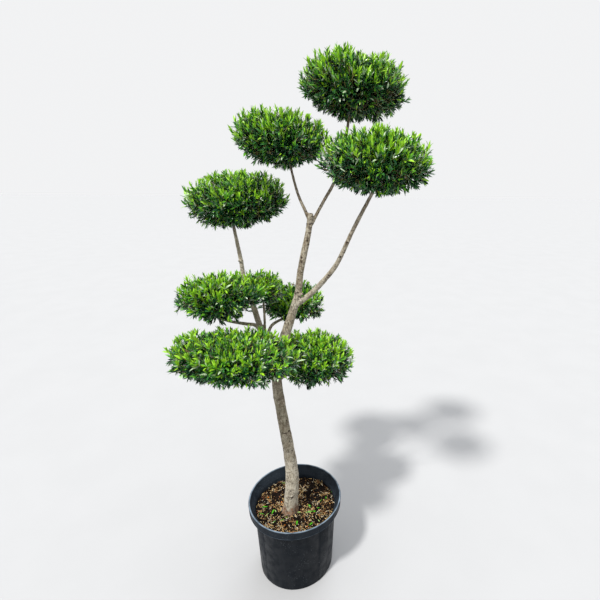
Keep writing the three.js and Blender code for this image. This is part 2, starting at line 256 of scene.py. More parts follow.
TRUNK = Trunk(
    name="trunk",
    path=(
        (-19, -43, 270), (-8, -43, 385), (-4, -41, 478), (-14, -38, 592), (-30, -34, 704),
        (-55, -26, 904), (-48, -20, 978), (-18, -12, 1085), (34, 0, 1252), (46, 4, 1340),
        (77, 12, 1486), (86.5, 14, 1554),
    ),
    girths=(29.5, 28, 26, 22.8, 21.2, 20, 20, 19, 14.6, 12.3, 12, 9.6),
    butt=29.5,
    tip=11,
    sides=48,
)
BOUGHS = (
    Limb("bough_far_left", (
        (-54, -24, 935), (-104, 18, 1045), (-146, 60, 1157), (-197, 108, 1285),
        (-209, 124, 1354), (-238, 150, 1492),
    ), 14.5, 6.3),
    Limb("bough_upper_left", (
        (82, 14, 1528), (65, 18, 1565), (41, 28, 1618), (20, 41, 1690), (14, 49, 1716),
    ), 6.0, 4.4, collar=0.12),
    Limb("bough_top", (
        (88, 15, 1514), (133, 40, 1597), (169, 60, 1661), (201, 90, 1761), (222, 120, 1886),
    ), 6.3, 5.2, collar=0.12),
    Limb("bough_upper_right", (
        (19, -2, 1206), (81, -10, 1253), (150, -30, 1330), (183, -45, 1378),
        (244, -85, 1513), (299, -119, 1625),
    ), 11.4, 5.8),
    Limb("bough_middle_left", (
        (-115, 31, 1082), (-140, 15, 1119), (-164, 0, 1128), (-227, -40, 1156),
        (-286, -76, 1198),
    ), 7.4, 4.6),
    Limb("bough_middle_centre", (
        (-108, 25, 1060), (-109, 50, 1104), (-116, 84, 1148), (-121, 101, 1177),
    ), 5.6, 4.6),
    Limb("bough_middle_right", (
        (-96, 14, 1032), (-97, 68, 1074), (-88, 100, 1089), (-54, 188, 1088),
    ), 7, 5.6),
    Limb("bough_lower_left", ((-52, -23, 945), (-80, -78, 988), (-126, -150, 1022)), 11, 7.4),
    Limb("bough_lower_right", ((-55, -25, 903), (-30, -12, 916), (-10, 0, 919)), 10, 8),
)


@dataclass(frozen=True)
class CloudForm:
    """The bun-shaped space that one clipped head of foliage keeps to. Sizes are millimetres.

    Attributes:
        name: The head's place on the plant.
        heart: Its centre.
        half_width: Half its width along X.
        half_depth: Half its depth along Y.
        rise: Its height above the heart.
        drop: Its depth below the heart.
        slope: How far it sinks towards +X for each millimetre across.
        seed: The start of its seeded numbers.
        square_above: How boxy it is above the heart; 2 is an ellipsoid.
        square_below: How boxy it is below the heart.
        wobble: How far its outline draws in between the lobes, as a share of the reach.
        lobes: How many lobes it has, seen from above.
    """

    name: str
    heart: Place
    half_width: float
    half_depth: float
    rise: float
    drop: float
    slope: float
    seed: int
    square_above: float = 2.3
    square_below: float = 2.7
    wobble: float = 0.035
    lobes: int = 3

    def _height(self, ways: Rows) -> Rows:
        """Gives how far each direction climbs from the sloping middle plane."""
        return ways[:, 2] + self.slope * ways[:, 0]

    def reach(self, ways: Rows) -> Rows:
        """Gives how far the space goes from its heart in each unit direction, in metres."""
        height = self._height(ways)
        above = height > 0
        across = np.hypot(ways[:, 0] / self.half_width, ways[:, 1] / self.half_depth)
        upright = np.abs(height) / np.where(above, self.rise, self.drop)
        power = np.where(above, self.square_above, self.square_below)
        bun = (across**power + upright**power) ** (-1 / power)
        wave = np.sin(self.lobes * np.arctan2(ways[:, 1], ways[:, 0]) + self.seed)
        return bun * (1 - self.wobble * (1 + wave) / 2) * MM

    def outward(self, ways: Rows) -> Rows:
        """Gives the skin's outward direction in each direction from the heart."""
        height = self._height(ways)
        half = np.where(height > 0, self.rise, self.drop)
        across = ways[:, 0] / self.half_width**2 + self.slope * height / half**2
        rows = [across, ways[:, 1] / self.half_depth**2, height / half**2]
        return unit(np.stack(rows, 1))

    def spread(self, count: int, turn: float) -> Rows:
        """Gives directions spread evenly over the skin, turned by an angle."""
        flatness = math.sqrt((self.rise + self.drop) / (2 * self.half_width))
        height = 1 - 2 * (np.arange(count) + 0.5) / count
        ring = np.sqrt(1 - height**2)
        angle = GOLDEN_ANGLE * np.arange(count) + turn
        return unit(np.stack([ring * np.cos(angle), ring * np.sin(angle), height * flatness], 1))

    def scattered(self, spacing: float, looseness: float, random: Draws) -> Rows:
        """Gives directions for things that grow all over the skin.

        Args:
            spacing: How far apart they stand, millimetres.
            looseness: How far they stray from an even spread, as a share of the spacing.
            random: The cloud's random numbers.

        Returns:
            One unit direction for each.
        """
        count = round(self._skin() / (spacing * MM) ** 2)
        ways = self.spread(count, FULL_TURN * random.random())
        return unit(ways + random.normal(0, looseness / math.sqrt(count), ways.shape))

    def _skin(self) -> float:
        """Gives the area of the skin in square metres, as an ellipsoid's."""
        power = 1.6
        a, b = (self.half_width * MM) ** power, (self.half_depth * MM) ** power
        c = ((self.rise + self.drop) / 2 * MM) ** power
        return 4 * math.pi * ((a * b + a * c + b * c) / 3) ** (1 / power)


CLOUDS = (
    CloudForm("far_left", (-219, 150, 1590), 216, 170, 120, 115, -0.05, 113, square_below=2.05),
    CloudForm("upper_left", (-19, 50, 1808), 182, 145, 111, 106, 0.05, 227, square_below=2.15),
    CloudForm("upper_right", (312, -120, 1729), 204, 155, 113, 118, 0.055, 317, square_below=1.95),
    CloudForm("top", (241, 122, 2003), 210, 168, 118, 129, 0.07, 419, square_below=2.2),
    CloudForm("middle_left", (-240, -96, 1266), 174, 106, 92, 101, -0.06, 515, square_below=1.95),
    CloudForm("middle_centre", (-142, 91, 1252), 130, 76, 82, 74, 0.06, 567),
    CloudForm("middle_right", (-24, 232, 1152), 158, 118, 97, 92, 0.06, 607),
    CloudForm("lower_left", (-163, -208, 1088), 246, 140, 93, 90, 0.03, 711),
    CloudForm("lower_right", (80, 60, 969), 180, 150, 106, 114, 0.09, 815),
)


class NodePaint:
    """One material's node tree, built with short calls, and the colour laid down so far."""

    def __init__(self, name: str, base: Colour) -> None:
        """Starts a material with its output, one Principled shader and a base colour."""
        self.material = bpy.data.materials.new(name)
        self.material.use_nodes = True
        self.tree = self.material.node_tree
        self.shader = self.tree.nodes["Principled BSDF"]
        self.place = self._node("ShaderNodeTexCoord", "Object", {})
        self.colour: Socket | Colour = base

    def _feed(self, socket: Socket, value: object) -> None:
        """Links a socket to another one, or sets its value."""
        if isinstance(value, Socket):
            self.tree.links.new(value, socket)
        else:
            socket.default_value = value

    def _node(self, kind: str, output: str, feeds: dict[str | int, object], **settings: str) -> Socket:
        """Adds a node.

        Args:
            kind: The node's type.
            output: The output that is wanted.
            feeds: A value or another socket for each input that isn't left as it is.
            **settings: The node's own settings.

        Returns:
            The output's socket.
        """
        node = self.tree.nodes.new(kind)
        for name, value in settings.items():
            setattr(node, name, value)
        for name, value in feeds.items():
            self._feed(node.inputs[name], value)
        return node.outputs[output]

    def finish(self, **values: object) -> bpy.types.Material:
        """Feeds the shader its colour and more.

        Args:
            **values: The shader's inputs, with underscores for the spaces in their names.

        Returns:
            The finished material.
        """
        values["Base_Color"] = self._opaque(self.colour)
        for name, value in values.items():
            self._feed(self.shader.inputs[name.replace("_", " ")], value)
        return self.material

    def stretched(self, x: float, y: float, z: float) -> Socket:
        """Gives Object coordinates multiplied along each axis."""
        return self._node("ShaderNodeMapping", "Vector", {"Vector": self.place, "Scale": (x, y, z)})

    def cloudy(self, scale: float, detail: float = 2.0, place: Socket | None = None) -> Socket:
        """Gives a soft noise from 0 to 1."""
        feeds = {"Vector": place or self.place, "Scale": scale, "Detail": detail}
        return self._node("ShaderNodeTexNoise", "Fac", feeds)

    def cells(self, scale: float, place: Socket | None = None) -> Socket:
        """Gives the distance to scattered points, for specks and pores."""
        feeds = {"Vector": place or self.place, "Scale": scale}
        return self._node("ShaderNodeTexVoronoi", "Distance", feeds)

    def cracks(self, scale: float, place: Socket) -> Socket:
        """Gives the distance to the borders between cells, for fine cracks."""
        feeds = {"Vector": place, "Scale": scale}
        return self._node("ShaderNodeTexVoronoi", "Distance", feeds, feature="DISTANCE_TO_EDGE")

    def wavering(self, place: Socket, scale: float, share: float) -> Socket:
        """Shifts coordinates by a noise, so that a pattern on them wavers."""
        shift = self._node("ShaderNodeTexNoise", "Color", {"Vector": place, "Scale": scale})
        feeds = {0: shift, 1: (share, share, share), 2: place}
        return self._node("ShaderNodeVectorMath", "Vector", feeds, operation="MULTIPLY_ADD")

    def stored(self, name: str) -> Socket:
        """Gives a number kept on the piece's points."""
        return self._node("ShaderNodeAttribute", "Fac", {}, attribute_name=name)

    def window(
        self, value: Socket, low: float, high: float, start: float = 0.0, end: float = 1.0
    ) -> Socket:
        """Maps a number from one range to another, softly and without leaving it."""
        feeds = {"Value": value, "From Min": low, "From Max": high, "To Min": start, "To Max": end}
        return self._node("ShaderNodeMapRange", "Result", feeds, interpolation_type="SMOOTHSTEP")

    def joined(self, first: Socket, second: Socket, operation: str = "MULTIPLY") -> Socket:
        """Joins two numbers by one arithmetic operation."""
        return self._node("ShaderNodeMath", "Value", {0: first, 1: second}, operation=operation)

    def _opaque(self, value: Socket | Colour) -> object:
        """Adds full opacity to a plain colour."""
        return (*value, 1.0) if isinstance(value, tuple) else value

    def layered(self, under: Socket | Colour, over: Socket | Colour, share: Socket) -> Socket:
        """Lays one colour over another by a share."""
        feeds = {"Factor": share, "A": self._opaque(under), "B": self._opaque(over)}
        return self._node("ShaderNodeMix", "Result", feeds, data_type="RGBA")

    def coat(self, over: Socket | Colour, share: Socket) -> None:
        """Lays one more colour over those so far by a share."""
        self.colour = self.layered(self.colour, over, share)

    def bumped(self, height: Socket, strength: float, distance: float) -> Socket:
        """Turns a height into a bumped normal, with the distance in metres."""
        feeds = {"Height": height, "Strength": strength, "Distance": distance}
        return self._node("ShaderNodeBump", "Normal", feeds)


@dataclass(frozen=True)
class MouldedPlastic:
    """Slate-black nursery-pot plastic with a dull sheen, dust streaks and dried splashes, a painted
    highlight along the lip and the skirt's bead, and painted light on the inner wall.
    """

    colour: Colour = (0.0034, 0.0056, 0.0090)
    dust: Colour = (0.012, 0.017, 0.023)
    speck: Colour = (0.26, 0.29, 0.31)
    painted_light: Colour = (0.205, 0.265, 0.330)
    gloss: float = 0.08

    def material(self) -> bpy.types.Material:
        """Builds the finish."""
        paint = NodePaint("pot_plastic", self.colour)
        streaks = paint.cloudy(1.0, 3.0, paint.stretched(120, 120, 9))
        paint.coat(self.dust, paint.window(streaks, 0.46, 0.8, 0.0, 0.28))
        specks = paint.window(paint.cells(150), 0.17, 0.08, 0.0, 0.55)
        patch = paint.window(paint.cloudy(14.0), 0.44, 0.60)
        paint.coat(self.speck, paint.joined(specks, patch))
        # Painted highlight on the lip and the bead and painted light on the inner wall, broken into
        # patches by a noise.
        patchiness = paint.window(paint.cloudy(30.0, 4.0), 0.3, 0.6, 0.3, 0.8)
        paint.coat(self.painted_light, paint.joined(paint.stored("paled"), patchiness))
        dull = paint.window(paint.cloudy(34.0, 3.0), 0.3, 0.75, 0.34, 0.56)
        skin = paint.bumped(paint.cloudy(900.0), 0.25, 0.0003)
        return paint.finish(Roughness=dull, Normal=skin, Specular_IOR_Level=self.gloss)


@dataclass(frozen=True)
class Compost:
    """Dark peat and bark compost, damp in patches."""

    dark: Colour = (0.0035, 0.0022, 0.0016)
    brown: Colour = (0.016, 0.009, 0.005)
    gloss: float = 0.06

    def material(self) -> bpy.types.Material:
        """Builds the finish."""
        paint = NodePaint("compost", self.dark)
        crumbs = paint.cloudy(260.0, 4.0)
        paint.coat(self.brown, paint.window(crumbs, 0.42, 0.68))
        damp = paint.window(paint.cloudy(26.0), 0.4, 0.65, 0.62, 0.96)
        relief = paint.bumped(crumbs, 0.9, 0.002)
        return paint.finish(Roughness=damp, Normal=relief, Specular_IOR_Level=self.gloss)


class Litter(Enum):
    """What lies on the compost, each with its linear colour."""

    TAN = (0.37, 0.20, 0.075)
    STRAW = (0.76, 0.54, 0.24)
    PINKISH = (0.42, 0.18, 0.085)
    DARK_BARK = (0.016, 0.009, 0.005)
    PEAT = (0.004, 0.0026, 0.0018)
    BLEACHED = (0.88, 0.80, 0.60)
    GREEN = (0.07, 0.36, 0.012)
    PALE_GREEN = (0.33, 0.52, 0.18)
    ORANGE = (0.70, 0.20, 0.02)


@dataclass(frozen=True)
class LitterFinish:
    """The dull skin of one kind of litter, with a fibrous relief."""

    kind: Litter
    shade: Colour = (0.5, 0.45, 0.4)
    roughness: float = 0.8
    gloss: float = 0.1

    def material(self) -> bpy.types.Material:
        """Builds the finish."""
        shaded = tuple(part * share for part, share in zip(self.kind.value, self.shade))
        paint = NodePaint(f"litter_{self.kind.name.lower()}", shaded)
        grain = paint.cloudy(700.0)
        paint.coat(self.kind.value, paint.window(grain, 0.35, 0.6))
        fibres = paint.bumped(grain, 0.5, 0.0005)
        return paint.finish(
            Roughness=self.roughness, Normal=fibres, Specular_IOR_Level=self.gloss
        )


@dataclass(frozen=True)
class Bark:
    """Pale grey bark: blotched and pored, rusty at the foot, olive where algae grow, with painted
    shade in its pits and cracks, and on the boughs paler and browner by height, partly as painted
    light and shade.
    """

    pale: Colour = (0.325, 0.284, 0.210)
    grey: Colour = (0.200, 0.160, 0.104)
    brown: Colour = (0.092, 0.066, 0.041)
    pore_and_crack_shade: Colour = (0.030, 0.020, 0.012)
    bleached: Colour = (0.48, 0.445, 0.365)
    rust: Colour = (0.205, 0.108, 0.060)
    rust_dark: Colour = (0.085, 0.045, 0.026)
    algae: Colour = (0.100, 0.100, 0.040)
    heartwood: Colour = (0.034, 0.019, 0.011)
    roughness: float = 0.82

    def material(self) -> bpy.types.Material:
        """Builds the finish."""
        paint = NodePaint("bark", self.grey)
        mottle = paint.cloudy(34.0, 3.0, paint.stretched(1, 1, 0.6))
        plates = paint.cloudy(150.0, 4.0, paint.stretched(1, 1, 0.5))
        flecks = paint.cloudy(260.0, 3.0, paint.stretched(1, 1, 0.7))
        tone = paint.stored("tone")
        paint.coat(self.pale, paint.window(mottle, 0.36, 0.60))
        paint.coat(self.bleached, paint.window(plates, 0.54, 0.64, 0.0, 0.45))
        paint.coat(self.brown, paint.window(plates, 0.46, 0.37, 0.0, 0.7))
        paled = paint.window(plates, 0.35, 0.6, 0.5, 1.0)
        # Paler or browner by height; on the boughs this is partly painted light between the clouds and
        # painted shade inside them.
        paint.coat(self.bleached, paint.joined(paint.window(tone, 0.5, 1.0, 0.0, 0.6), paled))
        paint.coat(self.brown, paint.window(tone, 0.5, 0.0, 0.0, 0.62))
        paint.coat(self.bleached, paint.window(flecks, 0.55, 0.68, 0.0, 0.6))
        paint.coat(self.brown, paint.window(flecks, 0.42, 0.30, 0.0, 0.6))
        # Dark pores: partly their own colour and partly painted shade in the pits.
        holes = paint.window(paint.cells(66.0, paint.stretched(1, 1, 1.6)), 0.28, 0.14, 0.0, 0.9)
        paint.coat(self.pore_and_crack_shade, paint.joined(holes, paint.window(paint.cloudy(40.0), 0.47, 0.57)))
        bent = paint.wavering(paint.stretched(1, 1, 0.75), 60.0, 0.012)
        crack = paint.window(paint.cracks(110.0, bent), 0.11, 0.02)
        creases = paint.joined(crack, paint.window(paint.cloudy(38.0), 0.42, 0.62, 0.05, 0.75))
        # Painted shade in the cracks and creases.
        paint.coat(self.pore_and_crack_shade, creases)
        clods = paint.window(paint.cloudy(95.0, 3.0), 0.46, 0.60)
        rusty = paint.joined(paint.stored("rust"), paint.window(plates, 0.36, 0.56, 0.5, 1.0))
        paint.coat(paint.layered(self.rust, self.rust_dark, clods), rusty)
        green = paint.joined(paint.stored("algae"), paint.window(mottle, 0.3, 0.6, 0.5, 1.0))
        paint.coat(self.algae, green)
        paint.coat(self.heartwood, paint.window(paint.stored("scar"), 0.08, 0.6))
        raised = paint.joined(flecks, plates, "ADD")
        relief = paint.joined(raised, paint.joined(holes, creases, "ADD"), "SUBTRACT")
        return paint.finish(Roughness=self.roughness, Normal=paint.bumped(relief, 0.6, 0.0014))


class TwigAge(Enum):
    """How old a twig is, with its two linear colours."""

    OLD = ((0.060, 0.045, 0.032), (0.135, 0.110, 0.078))
    SECOND_YEAR = ((0.150, 0.100, 0.045), (0.300, 0.220, 0.100))
    YOUNG = ((0.26, 0.24, 0.06), (0.46, 0.40, 0.14))


@dataclass(frozen=True)
class TwigSkin:
    """The skin of twigs of one age, pored and slightly glossy."""

    age: TwigAge
    roughness: float = 0.6

    def material(self) -> bpy.types.Material:
        """Builds the finish."""
        dark, pale = self.age.value
        paint = NodePaint(f"twig_{self.age.name.lower()}", dark)
        pores = paint.cloudy(240.0)
        paint.coat(pale, paint.window(pores, 0.36, 0.64))
        return paint.finish(Roughness=self.roughness, Normal=paint.bumped(pores, 0.4, 0.0004))


class LeafAgeAndShade(Enum):
    """How a leaf looks, with its plain linear colour, its roughness and its gloss.

    The first five run from the youngest to the most shaded, and the darker ones are partly painted
    shade for leaves deep in and under the clouds; the last is a pale back made bright as a painted
    highlight.
    """

    YOUNG = ((0.300, 0.580, 0.022), 0.36, 0.5)
    FRESH = ((0.112, 0.365, 0.022), 0.31, 0.6)
    MATURE = ((0.036, 0.150, 0.034), 0.26, 0.8)
    DEEP = ((0.0090, 0.049, 0.018), 0.25, 0.5)
    SHADED = ((0.0010, 0.0042, 0.0014), 0.50, 0.05)
    # A leaf's pale back, made this bright as a painted highlight.
    TURNED = ((0.430, 0.560, 0.350), 0.40, 0.7)


@dataclass(frozen=True)
class LeafBlade:
    """A firm, waxy leaf in one plain colour, with a fine veined relief; the colours stand for the
    leaves' age, the darker ones also for painted shade and the palest for a painted highlight.
    """

    age: LeafAgeAndShade
    wax_index: float = 1.54

    def material(self) -> bpy.types.Material:
        """Builds the finish."""
        colour, roughness, gloss = self.age.value
        paint = NodePaint(f"leaf_{self.age.name.lower()}", colour)
        veins = paint.bumped(paint.cloudy(520.0, 1.0), 0.3, 0.0004)
        return paint.finish(
            Roughness=roughness, Normal=veins, IOR=self.wax_index, Specular_IOR_Level=gloss
        )


def linked(shape: bpy.types.ID, name: str) -> bpy.types.Object:
    """Puts a mesh, a lamp or a camera into the scene under a name."""
    piece = bpy.data.objects.new(name, shape)
    bpy.context.scene.collection.objects.link(piece)
    return piece


def kept(piece: bpy.types.Object, replaced: tuple[str, ...] = ()) -> None:
    """Makes a finished piece part of the plant and reports it.

    Args:
        piece: The piece, in place.
        replaced: The CAD nodes that it stands for.
    """
    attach(piece, BODY)
    if replaced:
        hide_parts(*replaced)
    triangles = sum(len(face.vertices) - 2 for face in piece.data.polygons)
    LOG.info("%s: %d triangles", piece.name, triangles)


def made(bed: Solid, name: str) -> bpy.types.Mesh:
    """Turns a bed of faces into a mesh, and drops the bed."""
    mesh = bpy.data.meshes.new(name)
    bed.to_mesh(mesh)
    bed.free()
    return mesh


def poured(bed: Solid, mesh: bpy.types.Mesh) -> None:
    """Adds a mesh to a bed of faces, and drops the mesh."""
    bed.from_mesh(mesh)
    bpy.data.meshes.remove(mesh)


def rounded_off(piece: bpy.types.Object) -> bpy.types.Mesh:
    """Gives a fresh mesh with the piece's modifiers worked in, and drops the piece."""
    shown = piece.evaluated_get(bpy.context.evaluated_depsgraph_get())
    mesh = bpy.data.meshes.new_from_object(shown)
    old = piece.data
    bpy.data.objects.remove(piece)
    bpy.data.meshes.remove(old)
    return mesh


def spun(bed: Solid, section: list[tuple[float, float]], steps: int) -> None:
    """Turns a section right round the upright axis.

    Args:
        bed: Where the faces go.
        section: The section's points as radius and height, millimetres.
        steps: How many sides the round has.
    """
    ends = [bed.verts.new((radius * MM, 0, height * MM)) for radius, height in section]
    edges = [bed.edges.new(pair) for pair in zip(ends, ends[1:])]
    bmesh.ops.spin(
        bed, geom=ends + edges, cent=(0, 0, 0), axis=(0, 0, 1), angle=FULL_TURN, steps=steps,
        use_merge=True,
    )
    bmesh.ops.remove_doubles(bed, verts=bed.verts, dist=SAME_PLACE)


def capped(bed: Solid) -> None:
    """Closes the open edge with a face and turns every face outwards."""
    bmesh.ops.contextual_create(bed, geom=[edge for edge in bed.edges if edge.is_boundary])
    bmesh.ops.recalc_face_normals(bed, faces=bed.faces)


def tree_of(places: Rows | list[Vector]) -> KDTree:
    """Gives a search tree over places, numbered in their order."""
    tree = KDTree(len(places))
    for number, place in enumerate(places):
        tree.insert(place, number)
    tree.balance()
    return tree


class Gathered:
    """Many small shapes gathered from arrays into one mesh."""

    def __init__(self) -> None:
        """Starts empty."""
        self.points: list[Rows] = []
        self.corners: list[Rows] = []
        self.finishes: list[Rows] = []
        self.count = 0

    def add(self, shapes: Rows, triangles: Rows, finishes: Rows) -> None:
        """Adds copies of one pattern.

        Args:
            shapes: The points of each copy, as copies by points by three.
            triangles: The pattern's triangles, as rows of three point numbers.
            finishes: The number of each copy's material.
        """
        copies, size = shapes.shape[:2]
        starts = self.count + size * np.arange(copies)
        self.points.append(shapes.reshape(-1, 3))
        self.corners.append((starts[:, None, None] + triangles[None]).reshape(-1, 3))
        self.finishes.append(np.repeat(finishes, len(triangles)))
        self.count += copies * size

    def piece(self, name: str, materials: list[bpy.types.Material]) -> bpy.types.Object:
        """Makes the one mesh.

        Args:
            name: The piece's name.
            materials: The materials that the finishes number.

        Returns:
            The new object.
        """
        points = np.concatenate(self.points).astype(np.float32)
        corners = np.concatenate(self.corners).astype(np.int32)
        mesh = bpy.data.meshes.new(name)
        mesh.vertices.add(len(points))
        mesh.vertices.foreach_set("co", points.ravel())
        mesh.loops.add(corners.size)
        mesh.loops.foreach_set("vertex_index", corners.ravel())
        mesh.polygons.add(len(corners))
        mesh.polygons.foreach_set("loop_start", np.arange(0, corners.size, 3, dtype=np.int32))
        mesh.polygons.foreach_set("material_index", np.concatenate(self.finishes).astype(np.int32))
        for material in materials:
            mesh.materials.append(material)
        mesh.update(calc_edges=True)
        mesh.shade_smooth()
        return linked(mesh, name)


def tube_triangles(rings: int, sides: int) -> Rows:
    """Gives the triangles of a tube whose butt is closed and whose tip runs to a point."""
    rows = []
    for ring in range(rings - 1):
        for side in range(sides):
            a, b = ring * sides + side, ring * sides + (side + 1) % sides
            rows += [(a, b, b + sides), (a, b + sides, a + sides)]
    tip, last = rings * sides, (rings - 1) * sides
    rows += [(last + side, last + (side + 1) % sides, tip) for side in range(sides)]
    rows += [(0, side + 1, side) for side in range(1, sides - 1)]
    return np.array(rows)


def tubes(paths: Rows, radii: Rows, sides: int) -> Rows:
    """Gives the points of many thin tubes.

    Args:
        paths: The centre lines, as tubes by rings by three.
        radii: The radius at each ring, as tubes by rings.
        sides: How many points each ring has.

    Returns:
        The points, as tubes by points by three, for tube_triangles.
    """
    ways = unit(np.gradient(paths, axis=1))
    helper = np.where(np.abs(ways[:, :1, 2:]) > 0.8, [[[1.0, 0.0, 0.0]]], UP)
    across = unit(np.cross(ways, helper))
    upward = np.cross(ways, across)
    turns = (FULL_TURN * np.arange(sides) / sides)[None, None, :, None]
    ring = across[:, :, None] * np.cos(turns) - upward[:, :, None] * np.sin(turns)
    points = paths[:, :, None] + ring * radii[:, :, None, None]
    tips = paths[:, -1:] + ways[:, -1:] * radii[:, -1:, None] * 1.5
    return np.concatenate([points.reshape(len(paths), -1, 3), tips], axis=1)


LEAF_TRIANGLES = np.array([
    (0, 3, 1), (3, 4, 1), (4, 2, 1), (0, 1, 5), (1, 6, 5), (1, 2, 6),
])


@dataclass(frozen=True)
class LeafOutline:
    """The lance-shaped outline of a leaf, folded along its midrib and curled to its tip.

    Attributes:
        middle: Where the midrib bends, as a share of the length.
        lower: Where the lower broad point lies, as a share of the length.
        upper: Where the upper broad point lies, as a share of the length.
        upper_width: Its width there, as a share of the greatest width.
        fold: How far the edges stand above the midrib, as a share of the half width.
        curl: How far the tip bends back, as a share of the length.
    """

    middle: float = 0.52
    lower: float = 0.32
    upper: float = 0.69
    upper_width: float = 0.80
    fold: float = 0.35
    curl: float = 0.14

    def leaves(self, roots: Rows, ways: Rows, faces: Rows, lengths: Rows, widths: Rows) -> Rows:
        """Gives the points of many leaves, for LEAF_TRIANGLES.

        Args:
            roots: Where each leaf starts.
            ways: The unit direction of each midrib.
            faces: The unit direction that each upper side looks in.
            lengths: The length of each leaf.
            widths: The greatest width of each leaf.

        Returns:
            The points, as leaves by seven by three.
        """
        along = np.array([0, self.middle, 1, self.lower, self.upper, self.lower, self.upper])
        across = np.array([0, 0, 0, 1, self.upper_width, -1, -self.upper_width])
        sides = np.cross(ways, faces)
        half, length = widths[:, None] / 2, lengths[:, None]
        lift = self.fold * np.abs(across)[None] * half - self.curl * along[None] ** 2 * length
        return (
            roots[:, None]
            + ways[:, None] * (along[None] * length)[..., None]
            + sides[:, None] * (across[None] * half)[..., None]
            + faces[:, None] * lift[..., None]
        )


@dataclass(frozen=True)
class Photograph:
    """The camera that took the photograph, found from the pot's rim and the trunk.

    Attributes:
        side: The picture's side, pixels.
        focal: The focal length, pixels.
        centre: Where the camera points in the picture, pixels from the top left.
        place: Where it stands, metres.
        pitch: How far it looks down, degrees.
        roll: How far it is turned, degrees.
        sensor: The width of its sensor, millimetres.
        nearest: How near it can see, metres.
    """

    side: float = 600.0
    focal: float = 400.0
    centre: tuple[float, float] = (350.0, 285.0)
    place: Place = (0.232, -1.462, 1.672)
    pitch: float = 14.7
    roll: float = 0.5
    sensor: float = 36.0
    nearest: float = 0.05

    def build(self) -> None:
        """Creates the camera and makes it the scene's."""
        camera = bpy.data.cameras.new("camera")
        camera.sensor_width = self.sensor
        camera.lens = self.focal / self.side * self.sensor
        camera.shift_x = 0.5 - self.centre[0] / self.side
        camera.shift_y = self.centre[1] / self.side - 0.5
        camera.clip_start = self.nearest
        pitch, roll = math.radians(self.pitch), math.radians(self.roll)
        forward = Vector((0, math.cos(pitch), -math.sin(pitch)))
        flat_down = Vector((0, -math.sin(pitch), -math.cos(pitch)))
        flat_right = Vector((1, 0, 0))
        right = math.cos(roll) * flat_right - math.sin(roll) * flat_down
        down = math.sin(roll) * flat_right + math.cos(roll) * flat_down
        facing = Matrix((right, -down, -forward)).transposed().to_4x4()
        holder = linked(camera, "camera")
        holder.matrix_world = Matrix.Translation(self.place) @ facing
        bpy.context.scene.camera = holder


@dataclass(frozen=True)
class Lamp:
    """One far, wide and soft lamp, which lights the whole floor evenly.

    Attributes:
        name: Its name.
        way: The direction that it shines from.
        strength: Its light on a face square to it, watts a square metre.
        width: How wide it looks, degrees.
        colour: Its tint.
        height: Where it hangs, metres.
    """

    name: str
    way: Place
    strength: float
    width: float
    colour: Colour = (1.0, 1.0, 1.0)
    height: float = 4.0

    def build(self) -> None:
        """Hangs the lamp."""
        light = bpy.data.lights.new(self.name, "SUN")
        light.energy = self.strength
        light.angle = math.radians(self.width)
        light.color = self.colour
        facing = Vector(self.way).to_track_quat("Z", "Y").to_matrix().to_4x4()
        linked(light, self.name).matrix_world = Matrix.Translation((0, 0, self.height)) @ facing


@dataclass(frozen=True)
class Studio:
    """A plain pale floor under soft light, as of a bright hazy day."""

    floor_side: float = 80.0
    floor_colour: Colour = (0.397, 0.3995, 0.408)
    floor_shade: float = 0.98
    sky_colour: Colour = (0.985, 0.99, 1.0)
    sky_strength: float = 0.90
    lamps: tuple[Lamp, ...] = (
        Lamp("key", (-0.38, -0.54, 1.0), 3.85, 6.0, (1.0, 0.985, 0.95)),
        Lamp("top", (0.15, 0.1, 1.0), 0.35, 70.0, (0.95, 0.98, 1.0)),
        Lamp("back", (0.25, 1.0, 0.62), 1.5, 45.0, (0.93, 0.97, 1.0)),
    )

    def build(self) -> None:
        """Lays the floor and hangs the lamps."""
        bed = bmesh.new()
        bmesh.ops.create_grid(bed, x_segments=2, y_segments=2, size=self.floor_side / 2)
        floor = linked(made(bed, "floor"), "floor")
        darker = tuple(value * self.floor_shade for value in self.floor_colour)
        paint = NodePaint("pale_floor", darker)
        paint.coat(self.floor_colour, paint.window(paint.cloudy(3.0, 3.0), 0.3, 0.7))
        floor.data.materials.append(paint.finish(Roughness=1.0, Specular_IOR_Level=0.0))
        world = bpy.data.worlds.new("sky")
        world.use_nodes = True
        background = world.node_tree.nodes["Background"]
        background.inputs["Color"].default_value = (*self.sky_colour, 1.0)
        background.inputs["Strength"].default_value = self.sky_strength
        bpy.context.scene.world = world
        bpy.context.scene.view_settings.view_transform = "Standard"
        for lamp in self.lamps:
            lamp.build()


